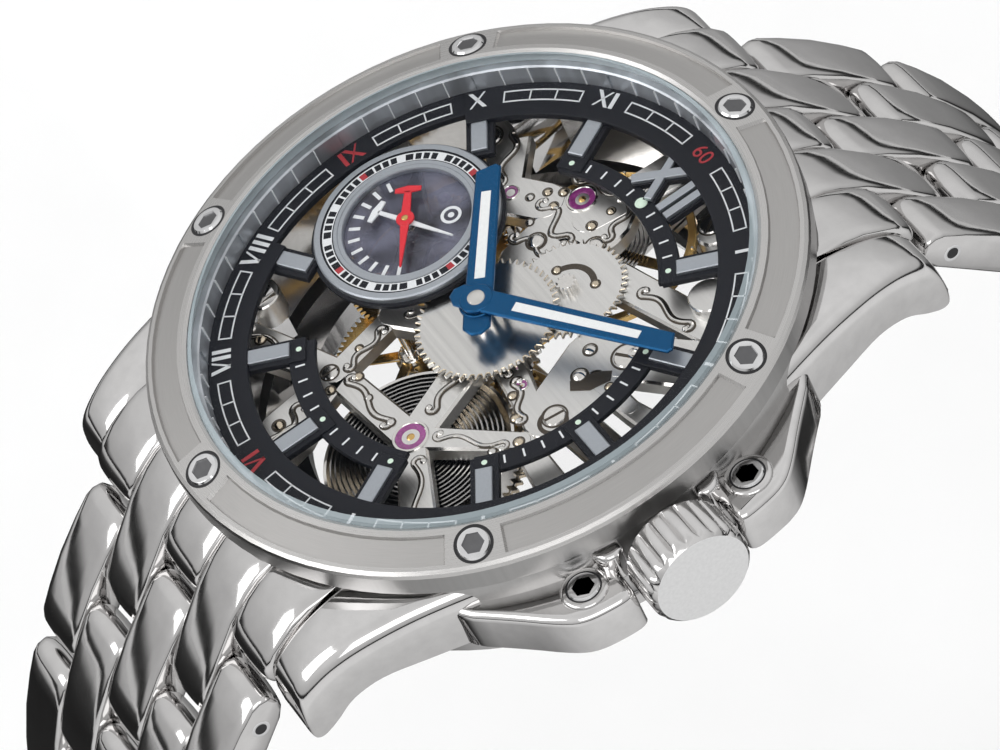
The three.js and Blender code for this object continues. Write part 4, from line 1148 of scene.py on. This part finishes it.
def bowed(shape, low_r, high_r, y0, y1, half, mat, steps=24):
    """Curved strip between two radii with rounded long edges."""
    rings = []
    for k in range(steps + 1):
        y = y0 + (y1 - y0) * k / steps
        pull = 0.35 * max(0.0, 1 - min(k, steps - k) / 1.5)
        ring = []
        for x, r in ((-half + 0.3, low_r), (half - 0.3, low_r), (half, low_r + 0.25), (half, high_r - 0.3),
                     (half - 0.35, high_r), (half * 0.5, high_r), (-half * 0.5, high_r),
                     (-half + 0.35, high_r), (-half, high_r - 0.3), (-half, low_r + 0.25)):
            ring.append((x * (1 - pull / half), y, arc_z(y, r)))
        rings.append(ring)
    shape.loft(rings, mat)


def make_clasp():
    last = pin_places()[-1]
    shift = Vector((0, last[0] - CLASP_PIN[0], last[1] - CLASP_PIN[1]))
    base = Matrix.Translation(shift) @ about(CLASP_PIN, COVER_FALL)
    cover = Shape("clasp_cover_plate")
    cover.turn = base
    bowed(cover, 91.4, 92.55, -18.35, 20.2, 10.2, LINK)
    for k in (-2, -1, 0, 1, 2):
        half = COLUMN_W / 2 - (0.45 if abs(k) == 2 else 0.0)
        section = ((-half, 92.3), (half, 92.3), (half, 92.52), (half * 0.8, 92.66), (-half * 0.8, 92.66),
                   (-half, 92.52))
        rings = []
        for i in range(21):
            y = -17.6 + 36.8 * i / 20
            rings.append([((k * COLUMN + x) * COVER_SHRINK, y, arc_z(y, r)) for x, r in section])
        cover.loft(rings, LINK)
    prong = [(24.4, -48.4), (24.75, -49.0), (24.8, -49.8), (24.5, -50.5), (22.6, -51.9), (20.0, -53.1),
             (18.5, -52.8), (20.6, -49.7), (23.0, -48.25)]
    for k in (-2, 0, 2):
        x0, x1 = (max(-PRONG_REACH, min(x, PRONG_REACH)) for x in column_span(k))
        inner = inset(prong, 0.18)
        sides = ((x0, inner), (x0 + 0.18, prong), (x1 - 0.18, prong), (x1, inner))
        cover.loft([[(x, y, z) for y, z in side] for x, side in sides], LINK)
    rod(cover, CLASP_PIN, PIN_R, -10.5, 10.5, SCREW)
    for x0, x1 in ((-9.45, -5.5), (5.5, 9.45)):
        rod(cover, HINGE_A, 1.08, x0, x1, LINK)
        wall = [(-18.0, arc_z(18.0, 92.0)), (-16.0, arc_z(16.0, 92.0)), (-16.0, arc_z(16.0, 89.9)),
                (-18.0, arc_z(18.0, 89.9))]
        cover.loft([[(x, y, z) for y, z in wall] for x in (x0, x1)], LINK)
    rod(cover, HINGE_A, 0.34, -7.0, 7.0, SCREW)
    cover.done("clasp_cover", ["clasp_cover"], sharp=40)

    blade = Shape("clasp_blade_long")
    blade.turn = base @ about(HINGE_A, LONG_OPEN)
    bowed(blade, 89.32, 90.08, -16.2, 12.1, 4.95, INNER)
    for x0, x1 in ((-4.95, -3.3), (3.3, 4.95)):
        cheek = ((11.6, 90.08), (13.4, 89.9), (13.4, 89.0), (11.6, 89.32))
        blade.loft([[(x, y, arc_z(y, r)) for y, r in cheek] for x in (x0, x1)], INNER)
    rod(blade, HINGE_A, 0.84, -5.25, 5.25, INNER)
    for x0, x1 in ((3.28, 4.97), (-4.97, -3.28)):
        rod(blade, HINGE_B, 1.55, x0, x1, INNER)
    rod(blade, HINGE_B, 0.44, -4.0, 4.0, SCREW)
    blade.done("clasp_long_blade", ["clasp_long_blade"], sharp=40)

    blade = Shape("clasp_blade_short")
    blade.turn = base @ about(HINGE_A, LONG_OPEN) @ about(HINGE_B, SHORT_OPEN)
    bowed(blade, 87.82, 88.58, -18.4, 12.8, 3.05, INNER)
    rod(blade, HINGE_B, 0.98, -3.08, 3.08, INNER)
    foot = [(-18.0, -48.3), (-18.1, -47.35), (-20.6, -47.45), (-22.6, -48.0), (-23.8, -49.0),
            (-23.9, -50.0), (-22.7, -50.15), (-21.6, -48.9)]
    rings = [[(x, y, z) for y, z in foot] for x in (-2.15, 2.15)]
    blade.loft(rings, INNER)
    blade.done("clasp_short_blade", ["clasp_short_blade"], sharp=40)


# ---------------------------------------------------------------------- stage
def glow(name, levels):
    """Material that shines by place across the card: (share of its width, level) stops."""
    mat = bpy.data.materials.new(name)
    mat.use_nodes = True
    tree = mat.node_tree
    tree.nodes.clear()
    shine = node(tree, "ShaderNodeEmission", [("Color", level_ramp(tree, "X", levels))])
    node(tree, "ShaderNodeOutputMaterial", [("Surface", shine.outputs[0])])
    return mat


def level_ramp(tree, axis, levels):
    """Grey levels given as (position, level) along one axis of the generated coordinates."""
    coords = node(tree, "ShaderNodeTexCoord")
    split = node(tree, "ShaderNodeSeparateXYZ", [(0, coords.outputs["Generated"])])
    ramp = node(tree, "ShaderNodeValToRGB", [("Fac", split.outputs[axis])])
    stops = ramp.color_ramp.elements
    for _ in levels[2:]:
        stops.new(0.5)
    for k, (place, _) in enumerate(levels):
        stops[k].position = place
    for k, (_, value) in enumerate(levels):
        stops[k].color = (value, value, value, 1)
    return ramp.outputs["Color"]


def ground_card(name, y, low, mat):
    """Card on the floor that only mirrors see: it gives polished steel its dark and bright bands."""
    bpy.ops.mesh.primitive_plane_add(size=1.0, location=(0, y, low - CARD_GAP))
    card = bpy.context.object
    card.name = name
    card.scale = (1.6, 0.8, 1)
    card.data.materials.append(mat)
    card.visible_camera = False
    card.visible_diffuse = False
    card.visible_shadow = False
    card.visible_transmission = False


FLOOR_GAP, CARD_GAP = 0.0005, 0.0003     # below the lowest piece, in metres
WORLD_LEVELS = ((0.0, 0.03), (0.03, 0.07), (0.09, 0.66), (0.3, 0.78), (0.5, 0.95), (0.8, 1.05), (1.0, 0.95))


def make_stage():
    low = cad_box[0][2]
    bpy.ops.mesh.primitive_plane_add(size=3.0, location=(0, 0, low - FLOOR_GAP))
    floor = bpy.context.object
    floor.name = "floor"
    floor.data.materials.append(
        finish("floor_paper", (0.93, 0.93, 0.93), scale=60, low=0.7, high=0.85, bump=0, tint=0.01))
    paper = ((0.53, 0.55), (0.6, 0.85), (1.0, 0.8))
    dim = ((0.0, 0.6), (0.20, 0.5), (0.29, 0.06), (0.38, 0.02), (0.5, 0.03))
    lit = ((0.0, 0.5), (0.28, 0.46), (0.42, 0.28), (0.46, 0.03), (0.5, 0.03))
    ground_card("near_ground_card", -0.4, low, glow("dim_ground", dim + paper))
    ground_card("far_ground_card", 0.4, low, glow("lit_ground", lit + paper))
    for name, place, size, power in (
            ("key", (-0.10, -0.50, 0.45), 0.5, 1.3), ("back", (-0.35, 0.50, 0.38), 0.36, 1.2),
            ("front", (0.55, -0.20, 0.45), 0.5, 0.8)):
        data = bpy.data.lights.new(name, "AREA")
        data.shape = "RECTANGLE"
        data.size = size
        data.size_y = size * 0.7
        data.energy = power
        lamp = bpy.data.objects.new(name, data)
        bpy.context.scene.collection.objects.link(lamp)
        lamp.location = place
        lamp.visible_glossy = name != "back"
        lamp.rotation_euler = (-Vector(place)).to_track_quat("-Z", "Y").to_euler()
    world = bpy.data.worlds.new("studio")
    bpy.context.scene.world = world
    world.use_nodes = True
    tree = world.node_tree
    sky = level_ramp(tree, "Z", WORLD_LEVELS)
    connect(tree, tree.nodes["Background"], [("Color", sky), ("Strength", 0.8)])


def make_camera():
    azimuth, elevation, roll = math.radians(79.87), math.radians(47.93), math.radians(-26.84)
    distance, aim = 428.15, Vector((2.81, -1.37, 6.78))
    back = Vector((math.sin(azimuth) * math.cos(elevation), -math.cos(azimuth) * math.cos(elevation),
                   math.sin(elevation)))
    level = back.cross(Vector((0, 0, 1))).normalized() * -1
    upright = back.cross(level)
    right = level * math.cos(roll) + upright * math.sin(roll)
    up = back.cross(right)
    data = bpy.data.cameras.new("camera")
    data.lens = 241.6
    data.sensor_width = 36.0
    data.clip_start = 0.01
    camera = bpy.data.objects.new("camera", data)
    bpy.context.scene.collection.objects.link(camera)
    place = (aim + back * distance) * MM
    camera.matrix_world = Matrix(((right.x, up.x, back.x, place.x), (right.y, up.y, back.y, place.y),
                                  (right.z, up.z, back.z, place.z), (0, 0, 0, 1)))
    bpy.context.scene.camera = camera


make_camera()
make_stage()
make_case()
make_bezel()
make_back()
make_crystal()
make_crown()
make_dial()
make_sixty()
make_small_dial()
make_hands()
make_plate()
make_wheels()
make_bridges()
make_bracelet()
make_end_links()
make_clasp()

view = bpy.context.scene.view_settings
view.view_transform = "Standard"
